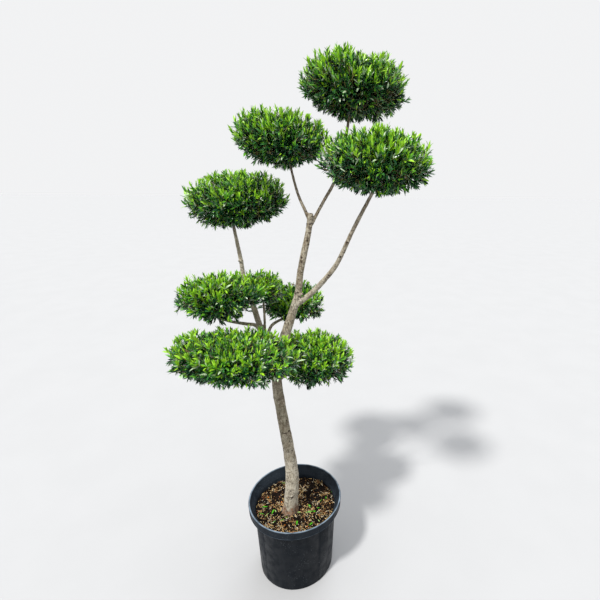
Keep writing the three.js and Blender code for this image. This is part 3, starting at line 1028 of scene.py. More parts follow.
@dataclass(frozen=True)
class Pot:
    """The round nursery pot: a thin tapering wall whose rim folds down into a skirt.

    All sizes are millimetres, and turns are degrees.
    """

    height: float = 336.0
    wall: float = 3.0
    floor: float = 4.0
    foot_radius: float = 160.0
    shoulder_radius: float = 174.5
    shoulder_height: float = 297.0
    rim_radius: float = 200.0
    skirt: float = 34.0
    skirt_taper: float = 3.5
    bead: float = 1.5
    lip_width: float = 8.0
    steps: int = 128
    drain_count: int = 6
    drain_radius: float = 9.0
    drain_ring: float = 122.0
    rib_count: int = 120
    rib_width: float = 1.6
    rib_height: float = 9.0
    rib_lift: float = 3.2
    rib_drop: float = 4.0
    rib_edge: float = 0.35
    panel_turns: tuple[float, ...] = (-38.0, -142.0, 52.0, 128.0)
    panel_half: float = 9.0
    panel_edge: float = 2.2
    panel_rise: float = 0.9
    edge_radius: float = 0.8
    sharp_turn: float = 24.0
    crease_turn: float = 38.0
    # How much paler the inner wall, the skirt and the skirt's bead are: painted light on the inner
    # wall, a slight paling of the skirt and a painted highlight on the bead.
    inner_painted_light: float = 0.09
    skirt_paling: float = 0.04
    bead_highlight: float = 0.6

    def profile(self) -> list[tuple[float, float]]:
        """Gives the wall's section as radius and height, from the axis and back to it."""
        rim, wall, lip, top = self.rim_radius, self.wall, self.lip_width, self.height
        skirt_foot, lip_foot, fold_top = top - self.skirt, top - 4, top - 18
        hem = rim - self.skirt_taper
        fold = rim - lip - wall
        return [
            (0, 0),
            (self.foot_radius - wall, 0),
            (self.foot_radius, wall),
            (self.shoulder_radius, self.shoulder_height),
            (self.shoulder_radius + wall, skirt_foot + 2),
            (fold, fold_top),
            (rim - wall - 2, fold_top),
            (hem - wall, skirt_foot),
            (hem + self.bead, skirt_foot),
            (hem + self.bead, skirt_foot + 2.6),
            (hem + 0.4, skirt_foot + 4.2),
            (rim, lip_foot),
            (rim - 1.5, top - 1),
            (rim - lip / 2, top),
            (rim - lip + 1.5, top - 1),
            (rim - lip, lip_foot),
            (fold - 2, fold_top),
            (self.shoulder_radius, skirt_foot + 1),
            (self.shoulder_radius - wall, self.shoulder_height - 1),
            (self.foot_radius - wall, self.floor),
            (0, self.floor),
        ]

    def build(self) -> None:
        """Turns the pot, adds its mouldings and drain holes, and dresses it."""
        blank = bmesh.new()
        spun(blank, self.profile(), self.steps)
        bmesh.ops.recalc_face_normals(blank, faces=blank.faces)
        self._raise_panels(blank)
        self._round_edges(blank)
        shell = bmesh.new()
        poured(shell, self._drained(linked(made(blank, "pot_blank"), "pot_blank")))
        self._add_ribs(shell)
        mesh = made(shell, "pot_moulded")
        self._note_painted_light(mesh)
        mesh.materials.append(MouldedPlastic().material())
        mesh.shade_smooth()
        mesh.set_sharp_from_angle(angle=math.radians(self.crease_turn))
        kept(linked(mesh, "pot_moulded"), ("pot",))

    def _rows(self, mesh: bpy.types.Mesh, name: str) -> Rows:
        """Gives one vector of each point of a mesh, as three rows."""
        values = np.empty(3 * len(mesh.vertices))
        mesh.vertices.foreach_get(name, values)
        return values.reshape(-1, 3).T

    def _note_painted_light(self, mesh: bpy.types.Mesh) -> None:
        """Keeps on each point how far the lip, the skirt, its bead and the inside are paler: a painted
        highlight on the lip and the bead, painted light on the inner wall, and a slight paling of the
        skirt.
        """
        x, y, z = self._rows(mesh, "co") / MM
        out_x, out_y, _ = self._rows(mesh, "normal")
        lip = smooth_step(self.height - 2.4, self.height - 0.6, z)
        foot, hem = self.height - self.skirt, self.rim_radius - self.skirt_taper
        radius = np.hypot(x, y)
        bead = (np.abs(z - foot) < 1.0) & (radius > hem)
        skirt = (z > foot) & (radius > hem - 0.5)
        inside = (z > self.shoulder_height - self.wall) & (x * out_x + y * out_y < 0)
        # The lip and the bead get a painted highlight and the inner wall painted light; the skirt is
        # only made a little paler.
        shares = [lip, self.bead_highlight * bead, self.skirt_paling * skirt, self.inner_painted_light * inside]
        paled = mesh.attributes.new("paled", "FLOAT", "POINT")
        paled.data.foreach_set("value", np.max(shares, axis=0))

    def _raise_panels(self, shell: Solid) -> None:
        """Raises the stiffening panels that run up the wall."""
        for turn in self.panel_turns:
            panel = [face for face in shell.faces if self._in_panel(face, turn)]
            bmesh.ops.inset_region(
                shell, faces=panel, thickness=self.panel_edge * MM, depth=self.panel_rise * MM,
                use_even_offset=True,
            )

    def _in_panel(self, face: bmesh.types.BMFace, turn: float) -> bool:
        """Tells whether a face of the outer wall lies in the panel at a turn."""
        middle = face.calc_center_median()
        radius = math.hypot(middle.x, middle.y)
        outer = radius > self.foot_radius * MM and face.normal.xy.dot(middle.xy) > 0
        tall = face.calc_area() > 100 * self.wall * MM * MM
        angle = math.degrees(math.atan2(middle.y, middle.x)) - turn
        near = abs((angle + 180) % 360 - 180) < self.panel_half
        return outer and tall and near and middle.z < self.shoulder_height * MM

    def _bevel(self, shell: Solid, edges: list[bmesh.types.BMEdge], size: float, steps: int) -> None:
        """Rounds edges off by a size, in a few steps."""
        bmesh.ops.bevel(
            shell, geom=edges, affect="EDGES", offset=size * MM, offset_type="OFFSET",
            segments=steps, profile=0.5, material=-1, clamp_overlap=steps > 1,
        )

    def _round_edges(self, shell: Solid) -> None:
        """Rounds the moulding's rings, as a mould does."""
        rings = [
            edge for edge in shell.edges
            if len(edge.link_faces) == 2
            and abs(edge.verts[0].co.z - edge.verts[1].co.z) < SAME_PLACE
            and edge.calc_face_angle(0.0) > math.radians(self.sharp_turn)
        ]
        self._bevel(shell, rings, self.edge_radius, 2)

    def _add_ribs(self, shell: Solid) -> None:
        """Adds the small ribs that hold the skirt off the wall."""
        foot = (self.height - self.skirt) * MM
        outer = (self.rim_radius - self.skirt_taper - self.wall * 0.4) * MM
        inner = (self.shoulder_radius + self.wall * 0.5) * MM
        middle = (outer + inner) / 2
        rib = bmesh.new()
        bmesh.ops.create_cube(rib, size=1.0)
        size = (outer - inner, self.rib_width * MM, self.rib_height * MM)
        bmesh.ops.scale(rib, verts=rib.verts, vec=size)
        bmesh.ops.translate(rib, verts=rib.verts, vec=(middle, 0, foot + self.rib_lift * MM))
        for vert in rib.verts:
            if vert.co.x < middle and vert.co.z < foot:
                vert.co.z -= self.rib_drop * MM
        self._bevel(rib, rib.edges[:], self.rib_edge, 1)
        bmesh.ops.spin(
            rib, geom=[*rib.verts, *rib.edges, *rib.faces], cent=(0, 0, 0), axis=(0, 0, 1),
            angle=FULL_TURN * (1 - 1 / self.rib_count), steps=self.rib_count - 1,
            use_duplicate=True,
        )
        poured(shell, made(rib, "ribs"))

    def _drained(self, pot: bpy.types.Object) -> bpy.types.Mesh:
        """Bores the drain holes through the floor."""
        bits = bmesh.new()
        radius, ring = self.drain_radius * MM, self.drain_ring * MM
        for hole in range(self.drain_count):
            turn = FULL_TURN * (hole + 0.5) / self.drain_count
            bmesh.ops.create_cone(
                bits, cap_ends=True, segments=32, radius1=radius, radius2=radius,
                depth=4 * self.floor * MM,
                matrix=Matrix.Translation((ring * math.cos(turn), ring * math.sin(turn), 0)),
            )
        cutter = linked(made(bits, "drain_bits"), "drain_bits")
        mesh = cutter.data
        bored = pot.modifiers.new("drain", "BOOLEAN")
        bored.object = cutter
        bored.operation = "DIFFERENCE"
        bored.solver = "EXACT"
        result = rounded_off(pot)
        bpy.data.objects.remove(cutter)
        bpy.data.meshes.remove(mesh)
        return result


CHIP_TRIANGLES = np.array([
    (0, 1, 3), (0, 3, 2), (4, 6, 7), (4, 7, 5), (0, 4, 5), (0, 5, 1),
    (2, 3, 7), (2, 7, 6), (0, 2, 6), (0, 6, 4), (1, 5, 7), (1, 7, 3),
])
CRUMB_TRIANGLES = np.array([
    (0, 2, 4), (2, 1, 4), (1, 3, 4), (3, 0, 4), (2, 0, 5), (1, 2, 5), (3, 1, 5), (0, 3, 5),
])


@dataclass(frozen=True)
class Soil:
    """The pot's compost: a crumbly top on the plain drum that fills the pot.

    Sizes are millimetres, and counts are of the loose bits that lie on it.

    Attributes:
        top: The height of the top.
        sunk: How far it has settled everywhere.
        settle: How much more it has settled at the wall.
        flat_radius: How far from the middle that settling starts.
        floor: The height of the drum's foot.
        foot_radius: The drum's radius there.
        edge_radius: The drum's radius at the top.
        heap: How high it is heaped round the trunk.
        heap_place: Where that heap is.
        heap_width: How wide it is.
        unevenness: The height, fineness and layer of each noise on the top.
        rings: How many rings of faces the top has.
        steps: How many sides it has.
        clear_radius: How far the litter keeps from the trunk's middle.
        chip_shares: The share of each kind of litter among the chips, in the order of Litter.
    """

    top: float = 296.0
    sunk: float = 3.0
    settle: float = 4.0
    flat_radius: float = 95.0
    floor: float = 4.3
    foot_radius: float = 156.7
    edge_radius: float = 171.0
    heap: float = 9.0
    heap_place: tuple[float, float] = (-18.0, -43.0)
    heap_width: float = 58.0
    unevenness: tuple[Place, ...] = ((3.0, 38, 0.0), (1.7, 150, 4.0), (0.8, 420, 9.0))
    rings: int = 64
    steps: int = 240
    clear_radius: float = 36.0
    chip_count: int = 3700
    chip_shares: tuple[float, ...] = (0.20, 0.34, 0.10, 0.13, 0.05, 0.18)
    crumb_count: int = 5200
    leaf_count: int = 26
    scale_count: int = 5
    seed: int = 41

    def height(self, x: float, y: float) -> float:
        """Gives the compost's height at a place, all in metres."""
        away = math.hypot(x, y) / MM
        fall = max(0.0, away - self.flat_radius) / (self.edge_radius - self.flat_radius)
        back_left = max(0.0, -x + 1.6 * y - 0.12) * 45
        off_x, off_y = x / MM - self.heap_place[0], y / MM - self.heap_place[1]
        heap = self.heap * math.exp(-((off_x**2 + off_y**2) / self.heap_width**2))
        raised = self.top - self.settle * fall - back_left - self.sunk + heap
        for rise, fineness, layer in self.unevenness:
            raised += rise * rough(x * fineness, y * fineness, layer)
        return raised * MM

    def build(self, foot: Rows) -> None:
        """Fills the pot and scatters the litter.

        Args:
            foot: The trunk's centre at the compost, which the litter keeps clear of.
        """
        bed = bmesh.new()
        step = self.edge_radius / self.rings
        spun(bed, [(step * k, 0) for k in range(self.rings + 1)], self.steps)
        for vert in bed.verts:
            vert.co.z = self.height(vert.co.x, vert.co.y)
        rim = [edge for edge in bed.edges if edge.is_boundary]
        wall = bmesh.ops.extrude_edge_only(bed, edges=rim)["geom"]
        scale = self.foot_radius / self.edge_radius
        for vert in wall:
            if isinstance(vert, bmesh.types.BMVert):
                vert.co = Vector((vert.co.x * scale, vert.co.y * scale, self.floor * MM))
        capped(bed)
        mesh = made(bed, "soil_filling")
        mesh.shade_smooth()
        mesh.set_sharp_from_angle(angle=math.radians(60))
        mesh.materials.append(Compost().material())
        kept(linked(mesh, "soil_filling"), ("soil",))
        self._scatter_litter(foot)

    def _places(self, random: Draws, count: int, foot: Rows) -> Rows:
        """Gives places on the compost, clear of the trunk and the wall."""
        radius = (self.edge_radius - 3) * MM * np.sqrt(random.random(count * 2))
        turn = FULL_TURN * random.random(count * 2)
        flat = np.stack([radius * np.cos(turn), radius * np.sin(turn)], 1)
        clear = np.linalg.norm(flat - foot[None, :2], axis=1) > self.clear_radius * MM
        flat = flat[clear][:count]
        return np.column_stack([flat, [self.height(x, y) for x, y in flat]])

    def _scatter_litter(self, foot: Rows) -> None:
        """Scatters wood chips, crumbs and fallen leaves over the compost."""
        random = np.random.default_rng(self.seed)
        litter = Gathered()
        self._add_chips(litter, random, foot)
        self._add_crumbs(litter, random, foot)
        self._add_fallen_leaves(litter, random, foot)
        materials = [LitterFinish(kind).material() for kind in Litter]
        kept(litter.piece("soil_litter", materials))

    def _strewn(self, x: float, y: float) -> float:
        """Gives how thickly chips lie at a place, from 0 to 1: thinner in drifts and behind."""
        drift = rough(x * 26, y * 26, 17.0) + 0.7 * rough(x * 70, y * 70, 3.0)
        return within(0.50 + 1.3 * drift - 1.6 * (y + 0.04))

    def _add_chips(self, litter: Gathered, random: Draws, foot: Rows) -> None:
        """Adds shreds of bark and wood, mostly lying flat."""
        places = self._places(random, self.chip_count, foot)
        strewn = np.array([self._strewn(x, y) for x, y, _ in places])
        places = places[random.random(len(places)) < strewn]
        count = len(places)
        length = (3.5 + random.gamma(2.0, 4.4, count)) * MM
        width = (0.8 + 1.2 * random.random(count)) * MM
        thick = (0.4 + 0.6 * random.random(count)) * MM
        turn = FULL_TURN * random.random(count)
        tilt = random.normal(0.12, 0.3, count)
        along = np.stack(
            [np.cos(turn) * np.cos(tilt), np.sin(turn) * np.cos(tilt), np.sin(tilt)], 1
        )
        across = unit(np.cross(UP + random.normal(0, 0.35, (count, 3)), along))
        above = np.cross(along, across)
        corners = np.array([(x, y, z) for x in (-1, 1) for y in (-1, 1) for z in (-1, 1)], float)
        corners[:4, 1:] *= 0.55
        size = np.stack([length, width, thick], 1)[:, None] / 2 * corners[None]
        base = places + UP * 0.9 * MM
        shapes = (
            base[:, None]
            + along[:, None] * size[..., :1]
            + across[:, None] * size[..., 1:2]
            + above[:, None] * size[..., 2:]
        )
        kinds = random.choice(len(self.chip_shares), count, p=self.chip_shares)
        litter.add(shapes, CHIP_TRIANGLES, kinds)

    def _add_crumbs(self, litter: Gathered, random: Draws, foot: Rows) -> None:
        """Adds dark crumbs of peat and bark."""
        places = self._places(random, self.crumb_count, foot)
        count = len(places)
        size = (0.8 + random.gamma(1.8, 0.7, count)) * MM
        corners = np.repeat(np.eye(3), 2, 0) * np.array([[1.0], [-1.0]] * 3)
        shapes = corners[None] + random.normal(0, 0.28, (count, 6, 3))
        shapes = shapes * size[:, None, None] + places[:, None]
        kinds = [number_of(kind) for kind in (Litter.DARK_BARK, Litter.PEAT, Litter.TAN)]
        litter.add(shapes, CRUMB_TRIANGLES, random.choice(kinds, count, p=[0.4, 0.53, 0.07]))

    def _add_fallen_leaves(self, litter: Gathered, random: Draws, foot: Rows) -> None:
        """Adds the clipped leaves and a few orange scales that lie on top."""
        places = self._places(random, self.leaf_count, foot) + UP * 2.2 * MM
        count = len(places)
        turn = FULL_TURN * random.random(count)
        way = unit(np.stack([np.cos(turn), np.sin(turn), random.normal(0.05, 0.12, count)], 1))
        face = square_to(way, UP + random.normal(0, 0.25, (count, 3)))
        length = random.uniform(17, 31, count) * MM
        shapes = LeafOutline(curl=0.06).leaves(places, way, face, length, length * 0.25)
        kinds = [number_of(kind) for kind in (Litter.GREEN, Litter.PALE_GREEN)]
        litter.add(shapes, LEAF_TRIANGLES, random.choice(kinds, count, p=[0.7, 0.3]))
        scales = self._places(random, self.scale_count, foot) + UP * 2.5 * MM
        way = unit(random.normal(0, 1, (len(scales), 3)) * [1, 1, 0.3])
        face = unit(np.cross(way, np.cross(UP, way)))
        length = np.full(len(scales), 9 * MM)
        shapes = LeafOutline(fold=0.8, curl=0.3).leaves(scales, way, face, length, length * 0.6)
        litter.add(shapes, LEAF_TRIANGLES, np.full(len(scales), number_of(Litter.ORANGE)))


@dataclass(frozen=True)
class Knot:
    """The healed scar of a shoot that was cut off.

    Attributes:
        place: Where it lies, millimetres; the nearest bark takes it.
        ring: The radius of its raised ring, millimetres.
        rise: How far the ring stands up, millimetres.
        hollow: How deep its middle is, millimetres.
        open: How dark its middle is, from 0 to 1.
    """

    place: Place
    ring: float
    rise: float
    hollow: float
    open: float = 1.0


@dataclass(frozen=True)
class Wood:
    """All the limbs as one bark-covered mesh, joined at their forks. Sizes are millimetres.

    Attributes:
        voxel: The grain of the joined mesh.
        smoothings: How often it is smoothed after that.
        swell: How far it stands proud of the plan.
        cut_height: Where it is cut flat, under the compost's top.
        stem_share: The butt of the stem in a cloud, as a share of its bough's tip.
        stem_taper: That stem's tip, as a share of its bough's tip.
        stubs: Cut stubs, spurs and surface roots.
        knots: Healed scars.
        trunk_tones: How weathered the trunk is, as heights and numbers from 0 to 1.
        bough_tones: How pale the boughs' bark is, likewise: paler where they run between the clouds
            and darker towards their tops inside them, partly weathering and partly painted light and
            shade.
        rings: Where the ring of an old bud runs round a limb.
        ring_reach: How far from that place the ring still shows.
        ring_width: How wide it is.
    """

    voxel: float = 2.15
    smoothings: int = 3
    swell: float = 0.3
    cut_height: float = 293.0
    stem_share: float = 0.95
    stem_taper: float = 0.6
    stubs: tuple[Limb, ...] = (
        Limb("stub_fork", ((40, -12, 1252), (50, -18, 1256), (56, -22, 1260)), 4.2, 3.4),
        Limb("stub_leader", ((22, -6, 1290), (14, -16, 1293)), 3.0, 2.4),
        Limb("root_loop", (
            (-31, -79, 290), (-30, -82, 305), (-24, -84, 314), (-18, -82, 305), (-16, -79, 290),
        ), 3.2, 3.2, collar=0.0),
        Limb("root_left", ((-37, -57, 290), (-36, -57, 310), (-31, -51, 334)), 14, 10, collar=0.0),
        Limb("root_right", ((3, -54, 290), (2, -55, 314), (-2, -49, 338)), 14.5, 10, collar=0.0),
        Limb("spur_far_left", ((-205, 116, 1352), (-217, 110, 1356)), 3.4, 2.8),
        Limb("spur_middle", ((-150, 8, 1122), (-152, -2, 1130)), 3.2, 2.6),
    )
    knots: tuple[Knot, ...] = (
        Knot((74, -1, 1454), 4.6, 0.9, 2.8),
        Knot((85, 3, 1514), 6.0, 1.6, 1.4, 0.6),
        Knot((52, -4, 1392), 5.6, 1.8, 2.2, 0.9),
        Knot((52, -6, 1376), 4.0, 0.9, 1.4, 0.6),
        Knot((27, -12, 1257), 4.4, 1.6, 1.8, 0.8),
        Knot((37, -2, 1348), 3.0, 0.8, 1.2, 0.8),
        Knot((56, -24, 1260), 2.6, 0.8, 1.4),
        Knot((42, -6, 1229), 3.6, 0.9, 1.4, 0.5),
        Knot((9, -18, 1201), 3.2, 0.8, 1.2, 0.6),
        Knot((-18, -16, 1140), 4.0, 1.1, 1.6, 0.8),
        Knot((-8, -34, 1121), 4.6, 1.5, 1.2, 0.4),
        Knot((-2, -70, 384), 5.2, 1.3, 2.0, 0.9),
        Knot((-24, -67, 380), 4.0, 1.0, 1.6, 0.8),
        Knot((-18, -46, 737), 4.0, 1.0, 1.6, 0.9),
        Knot((-11, -48, 690), 5.0, 1.3, 2.0),
        Knot((-40, -52, 640), 4.0, 1.0, 1.0, 0.3),
        Knot((-20, -58, 770), 4.4, 1.1, 1.0, 0.4),
        Knot((-30, 0, 700), 4.6, 1.2, 1.2, 0.6),
        Knot((20, -2, 560), 4.2, 1.0, 1.2, 0.5),
        Knot((221, -78, 1462), 4.6, 1.8, 1.2, 0.9),
        Knot((197, -62, 1408), 4.2, 1.4, 1.2, 0.9),
        Knot((152, -41, 1335), 4.6, 1.2, 1.0, 0.7),
        Knot((-204, 117, 1354), 4.4, 1.9, 0.8, 0.4),
        Knot((-197, 92, 1320), 4.4, 1.5, 0.8, 0.3),
        Knot((86, 8, 1552), 5.0, 0.5, 0.8, 0.8),
        Knot((95, 4, 1542), 3.2, 0.9, 0.9, 0.7),
    )
    trunk_tones: tuple[tuple[float, ...], ...] = (
        (300, 400, 480, 560, 700, 900, 1050, 1200, 1330, 1500),
        (1.0, 1.0, 0.95, 0.66, 0.42, 0.28, 0.50, 0.68, 0.46, 0.42),
    )
    # The boughs' tones are partly painted light between the clouds and painted shade inside them.
    bough_tones: tuple[tuple[float, ...], ...] = (
        (900, 1050, 1200, 1300, 1400, 1500, 1600, 1700),
        (0.35, 0.35, 0.75, 0.85, 0.60, 0.30, 0.15, 0.05),
    )
    rings: tuple[Place, ...] = (
        (31, 0, 1262), (36, 1, 1276), (52, 6, 1372), (84, 13, 1516), (81, 12, 1500),
        (78, 12, 1484), (66, 9, 1440), (-196, 106, 1318), (-18, -50, 684), (-42, -16, 1020),
        (-8, -69, 388), (-20, -52, 600), (-40, -40, 830),
    )
    ring_reach: float = 30.0
    ring_width: float = 2.2

    def limbs(self) -> list[Limb]:
        """Gives the trunk, the boughs and the stem that carries each cloud."""
        clouds = {f"bough_{cloud.name}": cloud for cloud in CLOUDS}
        return [TRUNK, *BOUGHS, *(self._stem(bough, clouds[bough.name]) for bough in BOUGHS)]

    def _stem(self, bough: Limb, cloud: CloudForm) -> Limb:
        """Gives the stem that grows on from a bough's tip to its cloud's heart."""
        route = bough.route()
        tip, way = route.at(1.0)[0] / MM, route.ways(1.0)[0]
        path = (tuple(tip - 2 * way), tuple(tip + bough.tip * way), cloud.heart)
        butt = bough.tip * self.stem_share
        return Limb(f"stem_{cloud.name}", path, butt, bough.tip * self.stem_taper, collar=0.0)

    def build(self) -> None:
        """Joins the limbs, raises the bark's relief and dresses the mesh."""
        joined = bmesh.new()
        for limb in [*self.limbs(), *self.stubs]:
            self._add_bar(joined, limb)
        blank = linked(made(joined, "wood_bars"), "wood_bars")
        remesh = blank.modifiers.new("skin", "REMESH")
        remesh.mode = "VOXEL"
        remesh.voxel_size = self.voxel * MM
        skin = bmesh.new()
        poured(skin, rounded_off(blank))
        for _ in range(self.smoothings):
            bmesh.ops.smooth_vert(
                skin, verts=skin.verts, factor=0.5, use_axis_x=True, use_axis_y=True,
                use_axis_z=True,
            )
        bmesh.ops.bisect_plane(
            skin, geom=[*skin.verts, *skin.edges, *skin.faces], dist=SAME_PLACE,
            plane_co=(0, 0, self.cut_height * MM), plane_no=(0, 0, -1), clear_outer=True,
        )
        capped(skin)
        self._raise_bark(skin)
        mesh = made(skin, "wood")
        mesh.shade_smooth()
        mesh.materials.append(Bark().material())
        kept(linked(mesh, "wood"), ("trunk", *(bough.name for bough in BOUGHS)))

    def _add_bar(self, joined: Solid, limb: Limb) -> None:
        """Bends one straight bar along a limb and adds it."""
        route = limb.route()
        steps = max(3, round(route.length / MM / limb.step))
        bar = bmesh.new()
        bmesh.ops.create_cone(
            bar, cap_ends=True, segments=limb.sides, radius1=1.0, radius2=1.0, depth=1.0
        )
        long = [e for e in bar.edges if abs(e.verts[0].co.z - e.verts[1].co.z) > 0.5]
        bmesh.ops.subdivide_edges(bar, edges=long, cuts=steps - 1, use_grid_fill=True)
        straight = np.array([vert.co for vert in bar.verts])
        along = straight[:, 2] + 0.5
        turn = np.arctan2(straight[:, 1], straight[:, 0])
        ways = route.ways(along)
        across = unit(np.cross(np.array([[0.0, 1.0, 0.0]]), ways))
        radii = limb.radii(along, turn) + self.swell * MM
        bent = route.at(along) + swung(across, np.cross(ways, across), turn) * radii[:, None]
        for vert, place in zip(bar.verts, bent):
            vert.co = place
        bmesh.ops.recalc_face_normals(bar, faces=bar.faces)
        poured(joined, made(bar, "bar"))

    def _centre_lines(self) -> tuple[KDTree, Rows, list[str]]:
        """Gives the limbs' centre lines, with the radius and limb at each point."""
        limbs = self.limbs()
        walks = [limb.walked(3) for limb in limbs]
        names = [limb.name for limb, (places, _) in zip(limbs, walks) for _ in places]
        tree = tree_of(np.concatenate([places for places, _ in walks]))
        return tree, np.concatenate([radii for _, radii in walks]), names

    def _raise_bark(self, skin: Solid) -> None:
        """Moves each point by the bark's relief and notes where the bark is stained."""
        tree, radii, names = self._centre_lines()
        bark = tree_of([vert.co for vert in skin.verts])
        marks = [(knot, bark.find(Vector(knot.place) * MM)[0]) for knot in self.knots]
        rust, algae, scar, tone = (
            skin.verts.layers.float.new(name) for name in ("rust", "algae", "scar", "tone")
        )
        skin.normal_update()
        moves = []
        for vert in skin.verts:
            place = vert.co
            number = tree.find(place)[1]
            vert[rust] = self._rust(place)
            vert[algae] = self._algae(place, names[number])
            vert[tone] = self._tone(place, names[number])
            rise, vert[scar] = self._scars(place, marks)
            moves.append(vert.normal * (self._relief(place, float(radii[number])) + rise))
        for vert, move in zip(skin.verts, moves):
            vert.co += move

    def _relief(self, place: Vector, radius: float) -> float:
        """Gives the bark's height at a place, for a limb of that radius."""
        x, y, z = place
        ridge = rough(x * 85, y * 85, z * 26)
        lump = noise.noise(place * 21)
        grain = rough(x * 300, y * 300, z * 190)
        flake = rough(x * 140, y * 140, z * 100)
        pits = max(0.0, noise.noise(place * 110) - 0.25)
        fine = 0.25 * grain + 0.4 * flake - 1.6 * pits
        return radius * (0.06 * lump + 0.04 * ridge) + fine * MM

    def _rust(self, place: Vector) -> float:
        """Gives how far the bark at the foot is reddish brown."""
        wave = 16 * noise.noise(place * 70) + 10 * math.cos(4.2 * (place.x + 0.017) / 0.03)
        return float(smooth_step(342, 324, np.array(place.z / MM + wave)))

    def _tone(self, place: Vector, name: str) -> float:
        """Gives how weathered the bark is, from 0, brown, over 0.5 to 1, bleached; on the boughs it
        also holds painted light and shade by height.
        """
        heights, tones = self.trunk_tones if name == "trunk" else self.bough_tones
        base = float(np.interp(place.z / MM, heights, tones))
        return within(base + 0.35 * noise.noise(place * 16) + 0.2 * noise.noise(place * 48))

    def _algae(self, place: Vector, name: str) -> float:
        """Gives how far olive algae cover the bark."""
        share = {"bough_middle_left": 0.35, "bough_middle_centre": 0.5}.get(name, 0.0)
        if name == "bough_far_left":
            share = 0.85 * math.exp(-(((place.z / MM - 1190) / 70) ** 2))
        if name == "trunk":
            share = 0.25 * math.exp(-(((place.z / MM - 760) / 160) ** 2))
        return share * within(0.75 + noise.noise(place * 35))

    def _scars(self, place: Vector, marks: list[tuple[Knot, Vector]]) -> tuple[float, float]:
        """Gives the rise of the knots and rings at a place, and how dark they make it."""
        rise, dark = 0.0, 0.0
        for knot, centre in marks:
            away = (place - centre).length / MM
            if away > 4 * knot.ring:
                continue
            edge = math.exp(-(((away - knot.ring * 1.25) / (knot.ring * 0.5)) ** 2))
            middle = math.exp(-((away / (knot.ring * 0.85)) ** 2))
            rise += knot.rise * edge - knot.hollow * middle
            dark = max(dark, knot.open * middle)
        for ring in self.rings:
            offset = place - Vector(ring) * MM
            if offset.length < self.ring_reach * MM:
                edge = math.exp(-((offset.z / MM / self.ring_width) ** 2))
                rise += edge * (0.6 + noise.noise(place * 120))
                dark = max(dark, edge * max(0.0, 0.35 + 1.2 * noise.noise(place * 90)))
        return rise * MM, dark


class LimbGuard:
    """Tells which points keep clear of the trunk and boughs."""

    GAP = 30.0
    MARGIN = 3.0

    def __init__(self, limbs: list[Limb]) -> None:
        """Notes each limb as a row of short straight lengths."""
        starts, ends, radii = [], [], []
        for limb in limbs:
            places, girths = limb.walked(self.GAP)
            starts.append(places[:-1])
            ends.append(places[1:])
            radii.append(np.maximum(girths[:-1], girths[1:]))
        self.starts = np.concatenate(starts)
        self.spans = np.concatenate(ends) - self.starts
        self.radii = np.concatenate(radii)

    def clear(self, points: Rows) -> Rows:
        """Tells which points, one row each, lie further than the margin from every limb's bark."""
        free = np.ones(len(points), bool)
        for start, span, radius in zip(self.starts, self.spans, self.radii):
            offset = points - start
            share = np.clip(offset @ span / (span @ span), 0.0, 1.0)
            away = np.linalg.norm(offset - share[:, None] * span, axis=1)
            free &= away > radius + self.MARGIN * MM
        return free


@dataclass(frozen=True)
class Bows:
    """Many bowed twigs, one row each, in metres.

    Attributes:
        start: Where each one starts.
        bend: The place that it bends towards.
        tip: Where it ends.
    """

    start: Rows
    bend: Rows
    tip: Rows

    def at(self, share: Rows) -> Rows:
        """Gives the place on each at a share of the way along."""
        return bowed(self.start, self.bend, self.tip, share)

    def ways(self, share: Rows) -> Rows:
        """Gives the unit direction of each at a share of the way along."""
        return unit((self.bend - self.start) * (1 - share) + (self.tip - self.bend) * share)

    def chosen(self, rows: Rows) -> "Bows":
        """Gives the rows asked for."""
        return type(self)(*(getattr(self, field.name)[rows] for field in fields(self)))


@dataclass(frozen=True)
class Sprays(Bows):
    """The branchlets that each carry one spray of leafy shoots.

    Attributes:
        skin: The place on the cloud's skin that each grows towards.
        lift: How much higher or lower than the rest its spray stands.
    """

    skin: Rows
    lift: Rows


@dataclass(frozen=True)
class Shoots(Bows):
    """The leafy shoots.

    Attributes:
        length: How long each one is.
        outward: The skin's outward direction there.
        leads: Whether it is a leading shoot.
    """

    length: Rows
    outward: Rows
    leads: Rows


@dataclass(frozen=True)
class ShootPlan:
    """How a leafy shoot grows: crossed pairs of leaves that open with age down the shoot.

    Attributes:
        steps: How far each pair stands below the shoot's tip, millimetres.
        leans: How far each pair leans out, degrees.
        lengths: How long its leaves are, millimetres.
        slimness: Their widths as shares of their lengths.
        leader_scale: How much longer the first leaves of a leading shoot are.
        ahead: How far the first pair reaches past the tip, millimetres.
        rooted: How far down the shoot leaves may grow, as a share of its length.
        missing: The share of leaves that have dropped.
        widest: How far a leaf may lean out, radians.
    """

    steps: tuple[float, ...] = (1, 5, 10, 15.5, 21.5, 28, 35, 43, 52, 62, 73)
    leans: tuple[float, ...] = (8, 15, 25, 33, 40, 46, 50, 54, 57, 60, 63)
    lengths: tuple[float, ...] = (16, 19.5, 21, 21.5, 21, 20, 19.5, 19, 18, 17.5, 17)
    slimness: tuple[float, ...] = (
        0.22, 0.25, 0.27, 0.29, 0.30, 0.31, 0.31, 0.32, 0.32, 0.33, 0.33,
    )
    leader_scale: float = 1.15
    ahead: float = 18.0
    rooted: float = 0.85
    missing: float = 0.07
    widest: float = 1.35


